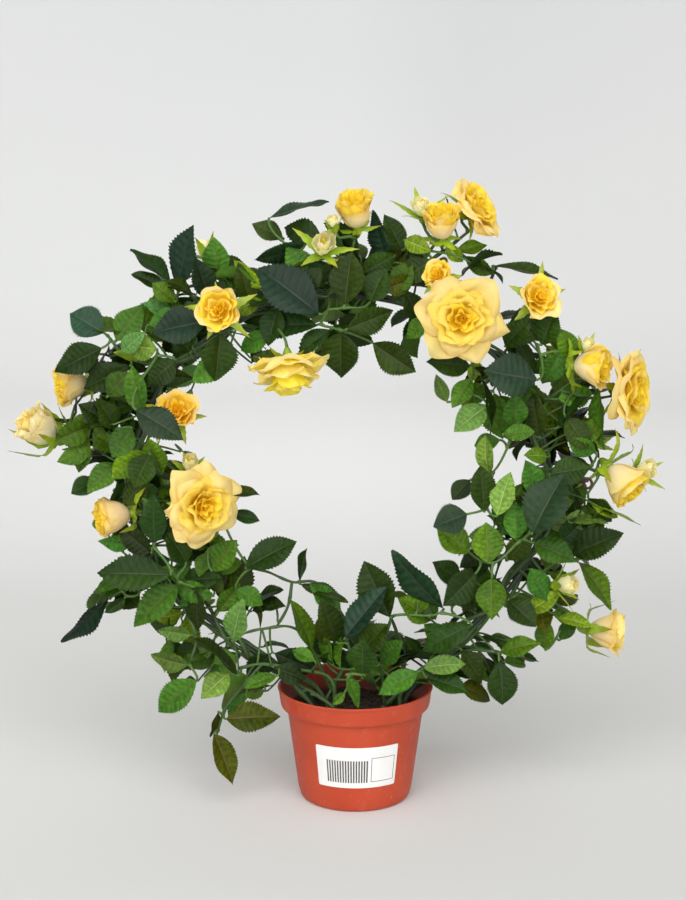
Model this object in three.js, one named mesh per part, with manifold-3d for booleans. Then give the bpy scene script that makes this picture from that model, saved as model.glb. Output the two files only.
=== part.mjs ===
// An artificial miniature rose trained round a wire hoop in a small plastic pot.
// Millimetres, +Z up. The origin is the middle of the pot's flat underside, and
// the hoop stands in the XZ plane, so -Y is the front of the plant.
import * as THREE from 'three';
import { mergeVertices } from 'three/addons/utils/BufferGeometryUtils.js';
import Module from 'manifold-3d';

// ---------------------------------------------------------------- dimensions
const POT_RIM_R = 60; // outside of the rolled rim, 120 mm across
const POT_HEIGHT = 87;
const POT_RIM_H = 15; // height of the rim band
const POT_RIM_FOOT_R = 57.5;
const POT_SHOULDER_R = 53; // wall just under the band
const POT_BASE_R = 43.2;
const POT_WALL = 2.0;
const POT_EDGE = 3; // rounded edge between wall and underside
const SOIL_TOP = 70;
const SOIL_UNEVEN = 3;
const LABEL_W = 63;
const LABEL_H = 33;
const LABEL_Z = 37.5; // height of the label's middle
const LABEL_X_TURN = 1.5; // degrees that the label sits off the front
const LABEL_THICK = 0.5;
const GAP = 0.3; // clearance between touching pieces

const HOOP_X = -11; // hoop centre
const HOOP_Z = 245;
const HOOP_A = 158; // half width
const HOOP_B = 142; // half height
const HOOP_R = 2.0; // wire radius
const HOOP_RIGHT_END = -35; // degrees, where the arc meets the right leg
const HOOP_LEFT_END = 215; // degrees, where the arc meets the left leg
const LEG_DEPTH_Z = 42; // how far down in the fill the wire's ends are
const HOOP_PIECES = 8;

const CANE_R = 1.5; // plastic stems wound round the wire
const CANE_OFF = 4.2; // cane centre line from wire centre line
const CANE_PITCH = 118; // one turn of a cane round the wire
const TUNNEL_R = 7.4; // way left through the foliage for wire and canes

const MASS_DETAIL = 2;
const SPRAY_DETAIL = 1;
const ROUGH = 0.12; // unevenness of a foliage mass, as a share of its size

// ------------------------------------------------------------------- solids
const wasm = await Module();
wasm.setup();

function solidOf(geometry) {
  const g = geometry.clone();
  for (const name of Object.keys(g.attributes)) if (name !== 'position') g.deleteAttribute(name);
  const merged = mergeVertices(g, 1e-4);
  const vertProperties = new Float32Array(merged.attributes.position.array);
  const triVerts = new Uint32Array(merged.index.array);
  return new wasm.Manifold(new wasm.Mesh({ numProp: 3, vertProperties, triVerts }));
}

function geometryOf(solid) {
  const mesh = solid.getMesh();
  const g = new THREE.BufferGeometry();
  const n = mesh.numProp;
  const positions = new Float32Array((mesh.vertProperties.length / n) * 3);
  for (let i = 0; i < positions.length / 3; i++) {
    for (let k = 0; k < 3; k++) positions[3 * i + k] = mesh.vertProperties[n * i + k];
  }
  g.setAttribute('position', new THREE.BufferAttribute(positions, 3));
  g.setIndex(new THREE.BufferAttribute(new Uint32Array(mesh.triVerts), 1));
  g.computeVertexNormals();
  return g;
}

// the largest connected body of a cut solid
function mainBody(solid) {
  const parts = solid.decompose();
  let best = parts[0];
  for (const p of parts) if (p.volume() > best.volume()) best = p;
  return best;
}

function union(solids) {
  let all = solids[0];
  for (const s of solids.slice(1)) all = all.add(s);
  return all;
}

// smooth, repeatable unevenness of a direction on the unit sphere, about -1 to 1
function uneven(x, y, z, seed) {
  const a = seed * 1.731;
  return (
    0.42 * Math.sin(3.1 * x + 2.3 * y + a) +
    0.34 * Math.sin(-2.7 * y + 4.1 * z + 2.1 * a + 1.3) +
    0.3 * Math.sin(5.3 * z - 3.9 * x + 0.7 * a + 4.0) +
    0.22 * Math.sin(6.1 * x + 5.7 * y - 4.9 * z + 3.3 * a)
  );
}

// --------------------------------------------------------------------- hoop
const rad = (deg) => (deg * Math.PI) / 180;

// distance from the hoop's centre to the wire in direction deg
function hoopReach(deg) {
  const c = Math.cos(rad(deg));
  const s = Math.sin(rad(deg));
  return (HOOP_A * HOOP_B) / Math.hypot(HOOP_B * c, HOOP_A * s);
}

function onHoop(deg, out = 0, y = 0) {
  const r = hoopReach(deg) + out;
  return new THREE.Vector3(HOOP_X + r * Math.cos(rad(deg)), y, HOOP_Z + r * Math.sin(rad(deg)));
}

// the legs bend in from the arc to the middle of the pot
const LEFT_LEG = [[-118, 143], [-84, 117.5], [-52, 93], [-31, 70], [-27, LEG_DEPTH_Z]];
const RIGHT_LEG = [[98, 143], [68, 110], [45, 84], [34, 62], [31, LEG_DEPTH_Z]];

function hoopCurve() {
  const points = [];
  for (const [x, z] of [...RIGHT_LEG].reverse()) points.push(new THREE.Vector3(x, 0, z));
  for (let deg = HOOP_RIGHT_END; deg <= HOOP_LEFT_END; deg += 10) points.push(onHoop(deg));
  for (const [x, z] of LEFT_LEG) points.push(new THREE.Vector3(x, 0, z));
  return new THREE.CatmullRomCurve3(points, false, 'centripetal');
}
const hoop = hoopCurve();
const hoopLength = hoop.getLength();
const STEPS = 240;
const hoopPoints = hoop.getSpacedPoints(STEPS);

// point and in-plane normal of the wire at a share t of its length
function wireFrame(t) {
  const f = Math.min(Math.max(t, 0), 1) * STEPS;
  const i = Math.min(Math.floor(f), STEPS - 1);
  const p = hoopPoints[i].clone().lerp(hoopPoints[i + 1], f - i);
  const i0 = Math.max(i - 1, 0);
  const i1 = Math.min(i + 2, STEPS);
  const tangent = hoopPoints[i1].clone().sub(hoopPoints[i0]).normalize();
  const normal = new THREE.Vector3(tangent.z, 0, -tangent.x);
  return { p, tangent, normal };
}

// closed tube of a regular section along a list of points
function tube(points, radius, sides, steps) {
  const shape = new THREE.Shape();
  for (let i = 0; i < sides; i++) {
    const a = (2 * Math.PI * i) / sides;
    if (i === 0) shape.moveTo(radius * Math.cos(a), radius * Math.sin(a));
    else shape.lineTo(radius * Math.cos(a), radius * Math.sin(a));
  }
  shape.closePath();
  const path = new THREE.CatmullRomCurve3(points, false, 'centripetal');
  return new THREE.ExtrudeGeometry(shape, { steps, bevelEnabled: false, extrudePath: path });
}

function wirePart(t0, t1, radius, sides, stepLength, past = 0) {
  const n = Math.max(3, Math.round(((t1 - t0) * hoopLength) / stepLength));
  const points = [];
  for (let i = 0; i <= n; i++) points.push(wireFrame(t0 + ((t1 - t0) * i) / n).p);
  // a way for the wire runs a little past the wire's ends, straight down
  if (past && t0 === 0) points.unshift(points[0].clone().add(new THREE.Vector3(0, 0, -past)));
  if (past && t1 === 1) points.push(points[n].clone().add(new THREE.Vector3(0, 0, -past)));
  return tube(points, radius, sides, n + 1);
}

// a cane wound round the wire from t0 to t1
function cane(t0, t1, phase, hand) {
  const n = Math.max(4, Math.round((Math.abs(t1 - t0) * hoopLength) / 16));
  const points = [];
  for (let i = 0; i <= n; i++) {
    const t = t0 + ((t1 - t0) * i) / n;
    const { p, normal } = wireFrame(t);
    const turn = phase + (hand * 2 * Math.PI * t * hoopLength) / CANE_PITCH;
    points.push(
      new THREE.Vector3(
        p.x + CANE_OFF * Math.cos(turn) * normal.x,
        CANE_OFF * Math.sin(turn),
        p.z + CANE_OFF * Math.cos(turn) * normal.z
      )
    );
  }
  return tube(points, CANE_R, 5, n);
}

// ------------------------------------------------------------------- foliage
// a mass that follows the hoop: degrees from and to, reach inside and outside
// the wire, reach to the front and the back
function hoopMass(m, grow = 0) {
  const g = new THREE.IcosahedronGeometry(1, MASS_DETAIL);
  const pos = g.attributes.position;
  const mid = (m.from + m.to) / 2;
  const half = ((m.to - m.from) / 2) * 1.3;
  for (let i = 0; i < pos.count; i++) {
    const x = pos.getX(i);
    const y = pos.getY(i);
    const z = pos.getZ(i);
    const bump = 1 + ROUGH * uneven(x, y, z, m.seed);
    const deg = mid - x * half;
    const reach = (z > 0 ? m.outside : m.inside) * bump + grow;
    const depth = (y < 0 ? m.front : m.back) * bump + grow;
    const p = onHoop(deg, z * reach, y * depth);
    pos.setXYZ(i, p.x, p.y, p.z);
  }
  let solid = solidOf(g);
  if (solid.volume() < 0) throw new Error('mass turned inside out');
  if (grow === 0) solid = solid.intersect(wedge(m.from, m.to));
  return solid;
}

// the space between two half planes through the hoop's centre, with a gap
function wedge(from, to) {
  const mid = rad((from + to) / 2);
  const half = rad((to - from) / 2);
  const tip = GAP / 2 / Math.sin(half);
  const far = 480;
  const cx = HOOP_X + tip * Math.cos(mid);
  const cz = HOOP_Z + tip * Math.sin(mid);
  const shape = new THREE.Shape();
  shape.moveTo(cx, cz);
  shape.lineTo(cx + far * Math.cos(rad(from)), cz + far * Math.sin(rad(from)));
  shape.lineTo(cx + far * Math.cos(rad(to)), cz + far * Math.sin(rad(to)));
  shape.closePath();
  const g = new THREE.ExtrudeGeometry(shape, { depth: 400, steps: 1, bevelEnabled: false });
  g.translate(0, 0, -200);
  g.rotateX(Math.PI / 2);
  return solidOf(g);
}

// a free spray or basal mass: centre, half sizes, tilt in the hoop's plane
function sprayMass(s, grow = 0) {
  const g = new THREE.IcosahedronGeometry(1, s.detail ?? SPRAY_DETAIL);
  const pos = g.attributes.position;
  for (let i = 0; i < pos.count; i++) {
    const x = pos.getX(i);
    const y = pos.getY(i);
    const z = pos.getZ(i);
    const bump = 1 + ROUGH * uneven(x, y, z, s.seed);
    pos.setXYZ(i, x * (s.size[0] * bump + grow), y * (s.size[1] * bump + grow), z * (s.size[2] * bump + grow));
  }
  g.rotateX(rad(s.lean ?? 0));
  g.rotateY(rad(-(s.tilt ?? 0)));
  g.translate(...s.at);
  return solidOf(g);
}

// from, to: degrees round the hoop from the right; inside, outside: reach from
// the wire; front, back: half depth
const MASSES = [
  { name: 'leaves_right_foot', from: -40, to: -19, inside: 50, outside: 62, front: 58, back: 56, seed: 1 },
  { name: 'leaves_right_low', from: -19, to: 3, inside: 56, outside: 50, front: 62, back: 60, seed: 2 },
  { name: 'leaves_right', from: 3, to: 25, inside: 38, outside: 66, front: 62, back: 66, seed: 3 },
  { name: 'leaves_right_high', from: 25, to: 46, inside: 40, outside: 62, front: 66, back: 60, seed: 4 },
  { name: 'leaves_top_right', from: 46, to: 66, inside: 36, outside: 60, front: 68, back: 62, seed: 5 },
  { name: 'leaves_top_mid_right', from: 66, to: 86, inside: 38, outside: 64, front: 64, back: 66, seed: 6 },
  { name: 'leaves_top', from: 86, to: 106, inside: 50, outside: 58, front: 66, back: 62, seed: 7 },
  { name: 'leaves_top_left', from: 106, to: 127, inside: 48, outside: 56, front: 66, back: 62, seed: 8 },
  { name: 'leaves_left_high', from: 127, to: 148, inside: 26, outside: 62, front: 60, back: 62, seed: 9 },
  { name: 'leaves_left_upper', from: 148, to: 167, inside: 30, outside: 62, front: 60, back: 60, seed: 10 },
  { name: 'leaves_left', from: 167, to: 186, inside: 48, outside: 54, front: 64, back: 62, seed: 11 },
  { name: 'leaves_left_low', from: 186, to: 203, inside: 62, outside: 36, front: 62, back: 60, seed: 12 },
  { name: 'leaves_left_foot', from: 203, to: 222, inside: 60, outside: 52, front: 58, back: 58, seed: 13 },
];

// at: centre; size: half sizes before tilt; tilt: degrees in the hoop's plane
const SPRAYS = [
  // round the mouth of the pot
  { name: 'leaves_basal_middle', at: [16, -4, 122], size: [34, 50, 38], tilt: 0, seed: 21 },
  { name: 'leaves_basal_right', at: [78, 0, 106], size: [38, 48, 34], tilt: 12, seed: 22 },
  { name: 'leaves_basal_left', at: [-62, 0, 128], size: [40, 46, 32], tilt: -14, seed: 23 },
  { name: 'leaves_low_left', at: [-112, -2, 97], size: [40, 42, 34], tilt: 6, seed: 24 },
  // thin outlying sprays and flower groups
  { name: 'spray_hanging_left', at: [-99, -6, 45], size: [27, 17, 33], tilt: -10, seed: 25 },
  { name: 'spray_tip_low_left', at: [-196, -4, 140], size: [42, 19, 26], tilt: 34, seed: 26 },
  { name: 'spray_left_low_flower', at: [-196, -8, 208], size: [26, 26, 34], tilt: 0, seed: 27 },
  { name: 'spray_left_flower_tip', at: [-218, -4, 288], size: [30, 26, 42], tilt: 0, seed: 28 },
  { name: 'spray_upper_left_tip', at: [-190, 0, 353], size: [34, 26, 32], tilt: -24, seed: 29 },
  { name: 'spray_high_left', at: [-128, 2, 400], size: [40, 28, 38], tilt: 26, seed: 30 },
  { name: 'spray_top_left_blade', at: [-46, 8, 446], size: [38, 24, 20], tilt: 14, seed: 31 },
  { name: 'flower_top_middle', at: [6, -14, 448], size: [22, 24, 27], tilt: 0, seed: 32 },
  { name: 'flower_top_right', at: [78, -10, 447], size: [40, 30, 30], tilt: 0, seed: 33 },
  { name: 'spray_right_blade', at: [140, 0, 396], size: [30, 30, 24], tilt: -34, seed: 34 },
  { name: 'flower_right_high', at: [196, -8, 322], size: [28, 30, 38], tilt: 10, seed: 35 },
  { name: 'flower_right', at: [206, -6, 242], size: [28, 28, 34], tilt: 0, seed: 36 },
  { name: 'flower_right_low', at: [182, -4, 138], size: [36, 26, 26], tilt: 12, seed: 37 },
  { name: 'spray_low_right', at: [124, -2, 92], size: [26, 30, 27], tilt: -20, seed: 38 },
  { name: 'flower_inside_top', at: [-50, -34, 328], size: [33, 27, 24], tilt: -4, seed: 39 },
  { name: 'flower_front_left', at: [-116, -62, 226], size: [34, 22, 40], tilt: 0, seed: 40 },
  { name: 'flower_front_right', at: [80, -66, 366], size: [42, 22, 40], tilt: 0, seed: 41 },
  { name: 'flower_back_left', at: [-128, 66, 354], size: [36, 20, 36], tilt: 0, seed: 42 },
  { name: 'flower_back_right', at: [150, 66, 224], size: [36, 20, 38], tilt: 0, seed: 43 },
  { name: 'flower_back_top', at: [-4, 66, 396], size: [38, 20, 34], tilt: 0, seed: 44 },
];

// ----------------------------------------------------------------- materials
const plastic = { metalness: 0 };
const MATERIALS = {
  pot: () => new THREE.MeshStandardMaterial({ color: 0xc25638, roughness: 0.5, ...plastic }),
  fill: () => new THREE.MeshStandardMaterial({ color: 0x2c2618, roughness: 0.95, ...plastic }),
  label: () => new THREE.MeshStandardMaterial({ color: 0xf2f0ee, roughness: 0.6, ...plastic }),
  wire: () => new THREE.MeshStandardMaterial({ color: 0x24351f, roughness: 0.5, ...plastic }),
  stem: () => new THREE.MeshStandardMaterial({ color: 0x56713f, roughness: 0.5, ...plastic }),
  leaves: () => new THREE.MeshStandardMaterial({ color: 0x3a5734, roughness: 0.6, ...plastic }),
  flowers: () => new THREE.MeshStandardMaterial({ color: 0xf6d45c, roughness: 0.7, ...plastic }),
};

const plant = new THREE.Group();
function node(name, geometry, material) {
  const mesh = new THREE.Mesh(geometry, MATERIALS[material]());
  mesh.name = name;
  plant.add(mesh);
  return mesh;
}

// ----------------------------------------------------------------------- pot
const wallTop = POT_HEIGHT - POT_RIM_H;
function outerR(z) {
  return POT_BASE_R + ((POT_SHOULDER_R - POT_BASE_R) * z) / wallTop;
}
const potProfile = [new THREE.Vector2(0, 0), new THREE.Vector2(POT_BASE_R - POT_EDGE, 0)];
for (let i = 1; i <= 2; i++) {
  const a = (Math.PI / 2) * (i / 2);
  const r = outerR(POT_EDGE) - POT_EDGE + POT_EDGE * Math.sin(a);
  potProfile.push(new THREE.Vector2(r, POT_EDGE * (1 - Math.cos(a))));
}
potProfile.push(
  new THREE.Vector2(POT_SHOULDER_R, wallTop - 1.5),
  new THREE.Vector2(POT_RIM_FOOT_R, wallTop + 0.6),
  new THREE.Vector2(POT_RIM_R, POT_HEIGHT - 0.8),
  new THREE.Vector2(POT_RIM_R - 0.8, POT_HEIGHT),
  new THREE.Vector2(POT_RIM_R - POT_WALL, POT_HEIGHT - 0.3),
  new THREE.Vector2(POT_RIM_FOOT_R - POT_WALL, wallTop + 1.5),
  new THREE.Vector2(POT_SHOULDER_R - POT_WALL, wallTop - 2.5),
  new THREE.Vector2(outerR(POT_WALL) - POT_WALL - 2.4, POT_WALL),
  new THREE.Vector2(0, POT_WALL)
);
const potShape = new THREE.LatheGeometry(potProfile, 28);
potShape.rotateX(Math.PI / 2);
const potSolid = solidOf(potShape);
node('pot', geometryOf(potSolid), 'pot');

// the weighted fill, with an uneven top that has the look of potting soil
function innerR(z) {
  return outerR(z) - POT_WALL - 0.9;
}
const fillProfile = [
  new THREE.Vector2(0, POT_WALL + GAP),
  new THREE.Vector2(outerR(0) - POT_WALL - 6.2, POT_WALL + GAP),
  new THREE.Vector2(innerR(8) - 1.4, 9),
  new THREE.Vector2(innerR(SOIL_TOP - 4), SOIL_TOP - 4),
  new THREE.Vector2(innerR(SOIL_TOP) - 3.5, SOIL_TOP - 1),
  new THREE.Vector2(innerR(SOIL_TOP) / 2, SOIL_TOP),
  new THREE.Vector2(0, SOIL_TOP),
];
const fillShape = new THREE.LatheGeometry(fillProfile, 16);
fillShape.rotateX(Math.PI / 2);
{
  const pos = fillShape.attributes.position;
  for (let i = 0; i < pos.count; i++) {
    const x = pos.getX(i);
    const y = pos.getY(i);
    const z = pos.getZ(i);
    if (z > SOIL_TOP - 2) pos.setZ(i, z + SOIL_UNEVEN * uneven(x / 26, y / 26, 0.4, 7) * 0.6);
  }
}
let fillSolid = solidOf(fillShape);

// ---------------------------------------------------------- hoop and canes
const legRight = 0.105; // share of the wire's length in each leg
const legLeft = 0.865;
const cuts = [0, legRight];
for (let i = 1; i < HOOP_PIECES - 2; i++) cuts.push(legRight + ((legLeft - legRight) * i) / (HOOP_PIECES - 2));
cuts.push(legLeft, 1);
const HOOP_NAMES = [
  'hoop_leg_right',
  'hoop_arc_right_low',
  'hoop_arc_right',
  'hoop_arc_top_right',
  'hoop_arc_top_left',
  'hoop_arc_left',
  'hoop_arc_left_low',
  'hoop_leg_left',
];
const halfGap = GAP / 2 / hoopLength;
HOOP_NAMES.forEach((name, i) => {
  const t0 = cuts[i] + (i ? halfGap : 0);
  const t1 = cuts[i + 1] - (i < HOOP_NAMES.length - 1 ? halfGap : 0);
  node(name, wirePart(t0, t1, HOOP_R, 6, 17), 'wire');
});

// two canes rise from the pot, one on each side, and meet near the top
const CANE_CUTS_RIGHT = [0.035, 0.155, 0.31, 0.47];
const CANE_CUTS_LEFT = [0.965, 0.82, 0.67, 0.51];
for (let i = 0; i < 3; i++) {
  const level = ['low', 'middle', 'high'][i];
  const g = 6 * halfGap;
  node(`cane_right_${level}`, cane(CANE_CUTS_RIGHT[i], CANE_CUTS_RIGHT[i + 1] - g, 0.6, 1), 'stem');
  node(`cane_left_${level}`, cane(CANE_CUTS_LEFT[i], CANE_CUTS_LEFT[i + 1] + g, 2.2, 1), 'stem');
}

// the wire and canes go down into the fill
const legsWay = [
  solidOf(wirePart(0, 0.16, TUNNEL_R, 6, 16, 4)),
  solidOf(wirePart(0.84, 1, TUNNEL_R, 6, 16, 4)),
];
fillSolid = fillSolid.subtract(union(legsWay));
node('fill', geometryOf(mainBody(fillSolid)), 'fill');

// an arching side stem that crosses the mouth of the pot
const ARCH = [[-4, -16, 73], [-10, -17, 92], [-26, -15, 101], [-44, -10, 104]];
const archPoints = ARCH.map((p) => new THREE.Vector3(...p));
const archSolid = solidOf(tube(archPoints, CANE_R, 6, 10));

// --------------------------------------------------------------------- label
{
  const turn = rad(LABEL_X_TURN);
  const nx = 8;
  const nz = 2;
  const g = new THREE.BoxGeometry(LABEL_W, LABEL_THICK, LABEL_H, nx, 1, nz);
  const pos = g.attributes.position;
  for (let i = 0; i < pos.count; i++) {
    const z = LABEL_Z + pos.getZ(i);
    const wall = outerR(z) + GAP + 0.15;
    const r = wall + (pos.getY(i) < 0 ? LABEL_THICK : 0);
    const a = pos.getX(i) / (outerR(LABEL_Z) + GAP) + turn;
    pos.setXYZ(i, r * Math.sin(a), -r * Math.cos(a), z);
  }
  node('label', geometryOf(solidOf(g)), 'label');
}

// ------------------------------------------------------------------- foliage
const way = solidOf(wirePart(0, 1, TUNNEL_R, 6, 22));
for (const m of MASSES) node(m.name, geometryOf(mainBody(hoopMass(m).subtract(way))), 'leaves');

const keepers = [way, solidOf(tube(archPoints, CANE_R + GAP, 6, 10)), ...MASSES.map((m) => hoopMass(m, GAP + 0.05))];
// nothing of the foliage reaches the pot
const potSpace = new THREE.CylinderGeometry(POT_RIM_R + 1.5, POT_RIM_R + 1.5, 60, 24);
potSpace.rotateX(Math.PI / 2);
potSpace.translate(0, 0, POT_HEIGHT + 1.5 - 30);
keepers.push(solidOf(potSpace));
let taken = union(keepers);
for (const s of SPRAYS) {
  const cut = mainBody(sprayMass(s).subtract(taken));
  node(s.name, geometryOf(cut), s.name.startsWith('flower') ? 'flowers' : 'leaves');
  taken = taken.add(sprayMass(s, GAP + 0.05));
}
const basal = SPRAYS.filter((s) => s.name.startsWith('leaves')).map((s) => sprayMass(s, GAP));
const archCut = mainBody(archSolid.subtract(union(basal)));
node('stem_arching', geometryOf(archCut), 'stem');

export default plant;
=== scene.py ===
import math

import bpy
import numpy as np
from mathutils import Matrix, Vector
from mathutils.bvhtree import BVHTree


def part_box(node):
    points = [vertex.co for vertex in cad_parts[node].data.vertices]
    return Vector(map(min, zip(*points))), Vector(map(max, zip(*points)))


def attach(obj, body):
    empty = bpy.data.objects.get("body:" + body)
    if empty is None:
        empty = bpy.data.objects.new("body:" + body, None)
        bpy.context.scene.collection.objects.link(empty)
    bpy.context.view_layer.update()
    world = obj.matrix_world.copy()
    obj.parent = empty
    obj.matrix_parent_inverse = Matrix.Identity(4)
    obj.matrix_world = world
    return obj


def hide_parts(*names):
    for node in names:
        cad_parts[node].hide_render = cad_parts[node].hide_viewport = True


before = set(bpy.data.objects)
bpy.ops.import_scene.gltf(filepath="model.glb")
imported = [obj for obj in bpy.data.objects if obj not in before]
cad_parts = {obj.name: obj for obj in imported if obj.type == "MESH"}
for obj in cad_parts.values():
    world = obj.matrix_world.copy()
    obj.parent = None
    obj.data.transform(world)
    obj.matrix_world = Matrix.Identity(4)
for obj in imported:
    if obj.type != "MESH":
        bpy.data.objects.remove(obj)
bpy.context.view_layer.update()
RNG = np.random.default_rng(1307)

# ------------------------------------------------------------------ the view
# The camera stands 1.12 m in front of the hoop, 0.45 m up, and looks 9 degrees down.
CAM = np.array([-0.0094, -1.119, 0.448])
PITCH = math.radians(9.0)
FOCAL_PX = 1500.0
PX0, PY0 = 343.0, 450.0

cam_data = bpy.data.cameras.new("camera")
cam_data.sensor_width = 36.0
cam_data.lens = 60.0
cam_data.clip_start = 0.01
cam = bpy.data.objects.new("camera", cam_data)
cam.location = CAM
cam.rotation_euler = (math.radians(90.0) - PITCH, 0.0, 0.0)
bpy.context.scene.collection.objects.link(cam)
bpy.context.scene.camera = cam


def W(px, py, y=0.0):
    """The point at depth y (metres, minus is nearer) that shows at that place in the view."""
    u, v = (px - PX0) / FOCAL_PX, -(py - PY0) / FOCAL_PX
    t = (y - CAM[1]) / (math.cos(PITCH) + v * math.sin(PITCH))
    return np.array([CAM[0] + t * u, y, CAM[2] + t * (-math.sin(PITCH) + v * math.cos(PITCH))])


def project(p):
    d = np.asarray(p) - CAM
    z = d[..., 1] * math.cos(PITCH) - d[..., 2] * math.sin(PITCH)
    up = d[..., 1] * math.sin(PITCH) + d[..., 2] * math.cos(PITCH)
    return PX0 + FOCAL_PX * d[..., 0] / z, PY0 - FOCAL_PX * up / z


def unit(v):
    v = np.asarray(v, float)
    return v / max(np.linalg.norm(v), 1e-12)


def srgb(r, g, b):
    """A colour given as 0 to 255 display values, as linear numbers."""
    c = np.array([r, g, b], float) / 255.0
    return np.where(c <= 0.04045, c / 12.92, ((c + 0.055) / 1.055) ** 2.4)


def rgba(c, a=1.0):
    return (float(c[0]), float(c[1]), float(c[2]), a)


# ------------------------------------------------------------- mesh collector
class Bag:
    """Collects the vertices and faces of many small things and makes one or more objects of them."""

    def __init__(self):
        self.chunks = []

    def add(self, verts, quads=None, tris=None, mat=0, col=None):
        verts = np.asarray(verts, float).reshape(-1, 3)
        col = np.asarray((1.0, 1.0, 1.0) if col is None else col, float)
        if col.ndim == 1:
            col = np.tile(col, (len(verts), 1))
        q = np.zeros((0, 4), int) if quads is None else np.asarray(quads, int).reshape(-1, 4)
        t = np.zeros((0, 3), int) if tris is None else np.asarray(tris, int).reshape(-1, 3)
        mq = np.broadcast_to(np.asarray(mat), (len(q),)).copy() if len(q) else np.zeros(0, int)
        mt = np.full(len(t), mat if np.ndim(mat) == 0 else 0)
        self.chunks.append((verts, q, t, mq, mt, col))

    def triangles(self):
        return sum(2 * len(c[1]) + len(c[2]) for c in self.chunks)

    def build(self, name, materials, smooth=True, limit=180000):
        """One object, or as many as keep each of them under the limit of triangles."""
        groups, now, size = [], [], 0
        for c in self.chunks:
            k = 2 * len(c[1]) + len(c[2])
            if now and size + k > limit:
                groups.append(now)
                now, size = [], 0
            now.append(c)
            size += k
        groups.append(now)
        made = []
        for g, chunks in enumerate(groups):
            made.append(self.make(name if len(groups) == 1 else f"{name}_{g + 1}", chunks, materials, smooth))
        return made

    @staticmethod
    def make(name, chunks, materials, smooth):
        start = np.cumsum([0] + [len(c[0]) for c in chunks])
        verts = np.concatenate([c[0] for c in chunks])
        q = np.concatenate([c[1] + o for c, o in zip(chunks, start)])
        t = np.concatenate([c[2] + o for c, o in zip(chunks, start)])
        mats = np.concatenate([c[3] for c in chunks] + [c[4] for c in chunks])
        col = np.concatenate([c[5] for c in chunks])
        me = bpy.data.meshes.new(name)
        me.vertices.add(len(verts))
        me.vertices.foreach_set("co", verts.astype(np.float32).ravel())
        loops = np.concatenate([q.ravel(), t.ravel()]).astype(np.int32)
        me.loops.add(len(loops))
        me.loops.foreach_set("vertex_index", loops)
        me.polygons.add(len(q) + len(t))
        starts = np.concatenate([np.arange(len(q)) * 4, len(q) * 4 + np.arange(len(t)) * 3]).astype(np.int32)
        me.polygons.foreach_set("loop_start", starts)
        me.polygons.foreach_set("material_index", mats.astype(np.int32))
        me.polygons.foreach_set("use_smooth", np.full(len(q) + len(t), bool(smooth)))
        tint = me.color_attributes.new("tint", "FLOAT_COLOR", "POINT")
        tint.data.foreach_set("color", np.hstack([col, np.ones((len(col), 1))]).astype(np.float32).ravel())
        me.update(calc_edges=True)
        me.validate()
        for m in materials:
            me.materials.append(m)
        ob = bpy.data.objects.new(name, me)
        bpy.context.scene.collection.objects.link(ob)
        return ob


def grid_quads(rows, cols, flip=False):
    i, j = np.meshgrid(np.arange(rows - 1), np.arange(cols - 1), indexing="ij")
    a = (i * cols + j).ravel()
    q = np.stack([a, a + 1, a + cols + 1, a + cols], 1)
    return q[:, ::-1] if flip else q


def bezier(p0, p1, p2, p3, n):
    t = np.linspace(0, 1, n)[:, None]
    return (1 - t) ** 3 * p0 + 3 * (1 - t) ** 2 * t * p1 + 3 * (1 - t) * t**2 * p2 + t**3 * p3


def frames_along(pts):
    """Unit tangents and two normals along a line, turned as little as possible."""
    tan = np.gradient(pts, axis=0)
    tan /= np.maximum(np.linalg.norm(tan, axis=1, keepdims=True), 1e-12)
    n = np.zeros_like(tan)
    a = np.array([0.0, 1.0, 0.0]) if abs(tan[0][1]) < 0.8 else np.array([1.0, 0.0, 0.0])
    n[0] = unit(np.cross(tan[0], a))
    for i in range(1, len(pts)):
        v = n[i - 1] - tan[i] * np.dot(n[i - 1], tan[i])
        n[i] = unit(v)
    return tan, n, np.cross(tan, n)


def tube(bag, pts, radii, sides=6, mat=0, col=None, squash=1.0):
    """A closed tube along a line of points, with rounded ends."""
    pts = np.asarray(pts, float)
    radii = np.broadcast_to(np.asarray(radii, float), (len(pts),))
    tan, n, b = frames_along(pts)
    a = np.arange(sides) * 2 * math.pi / sides
    ring = radii[:, None, None] * (np.cos(a)[None, :, None] * n[:, None, :] + squash * np.sin(a)[None, :, None] * b[:, None, :])
    verts = (pts[:, None, :] + ring).reshape(-1, 3)
    rows = len(pts)
    i, j = np.meshgrid(np.arange(rows - 1), np.arange(sides), indexing="ij")
    p = (i * sides + j).ravel()
    r = (i * sides + (j + 1) % sides).ravel()
    quads = np.stack([p, r, r + sides, p + sides], 1)
    k = len(verts)
    ends = np.array([pts[0] - tan[0] * radii[0] * 0.6, pts[-1] + tan[-1] * radii[-1] * 0.6])
    tris = [[k, (j + 1) % sides, j] for j in range(sides)]
    o = (rows - 1) * sides
    tris += [[k + 1, o + j, o + (j + 1) % sides] for j in range(sides)]
    if col is not None and np.ndim(col) == 2:
        c = np.repeat(np.asarray(col), sides, axis=0)
        col = np.vstack([c, col[0], col[-1]])
    bag.add(np.vstack([verts, ends]), quads, tris, mat, col)


# ------------------------------------------------------------------ materials
def new_material(name):
    m = bpy.data.materials.new(name)
    m.use_nodes = True
    nt = m.node_tree
    bsdf = nt.nodes["Principled BSDF"]
    return m, nt, bsdf


def node(nt, kind, **props):
    n = nt.nodes.new(kind)
    for k, v in props.items():
        setattr(n, k, v)
    return n


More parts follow.
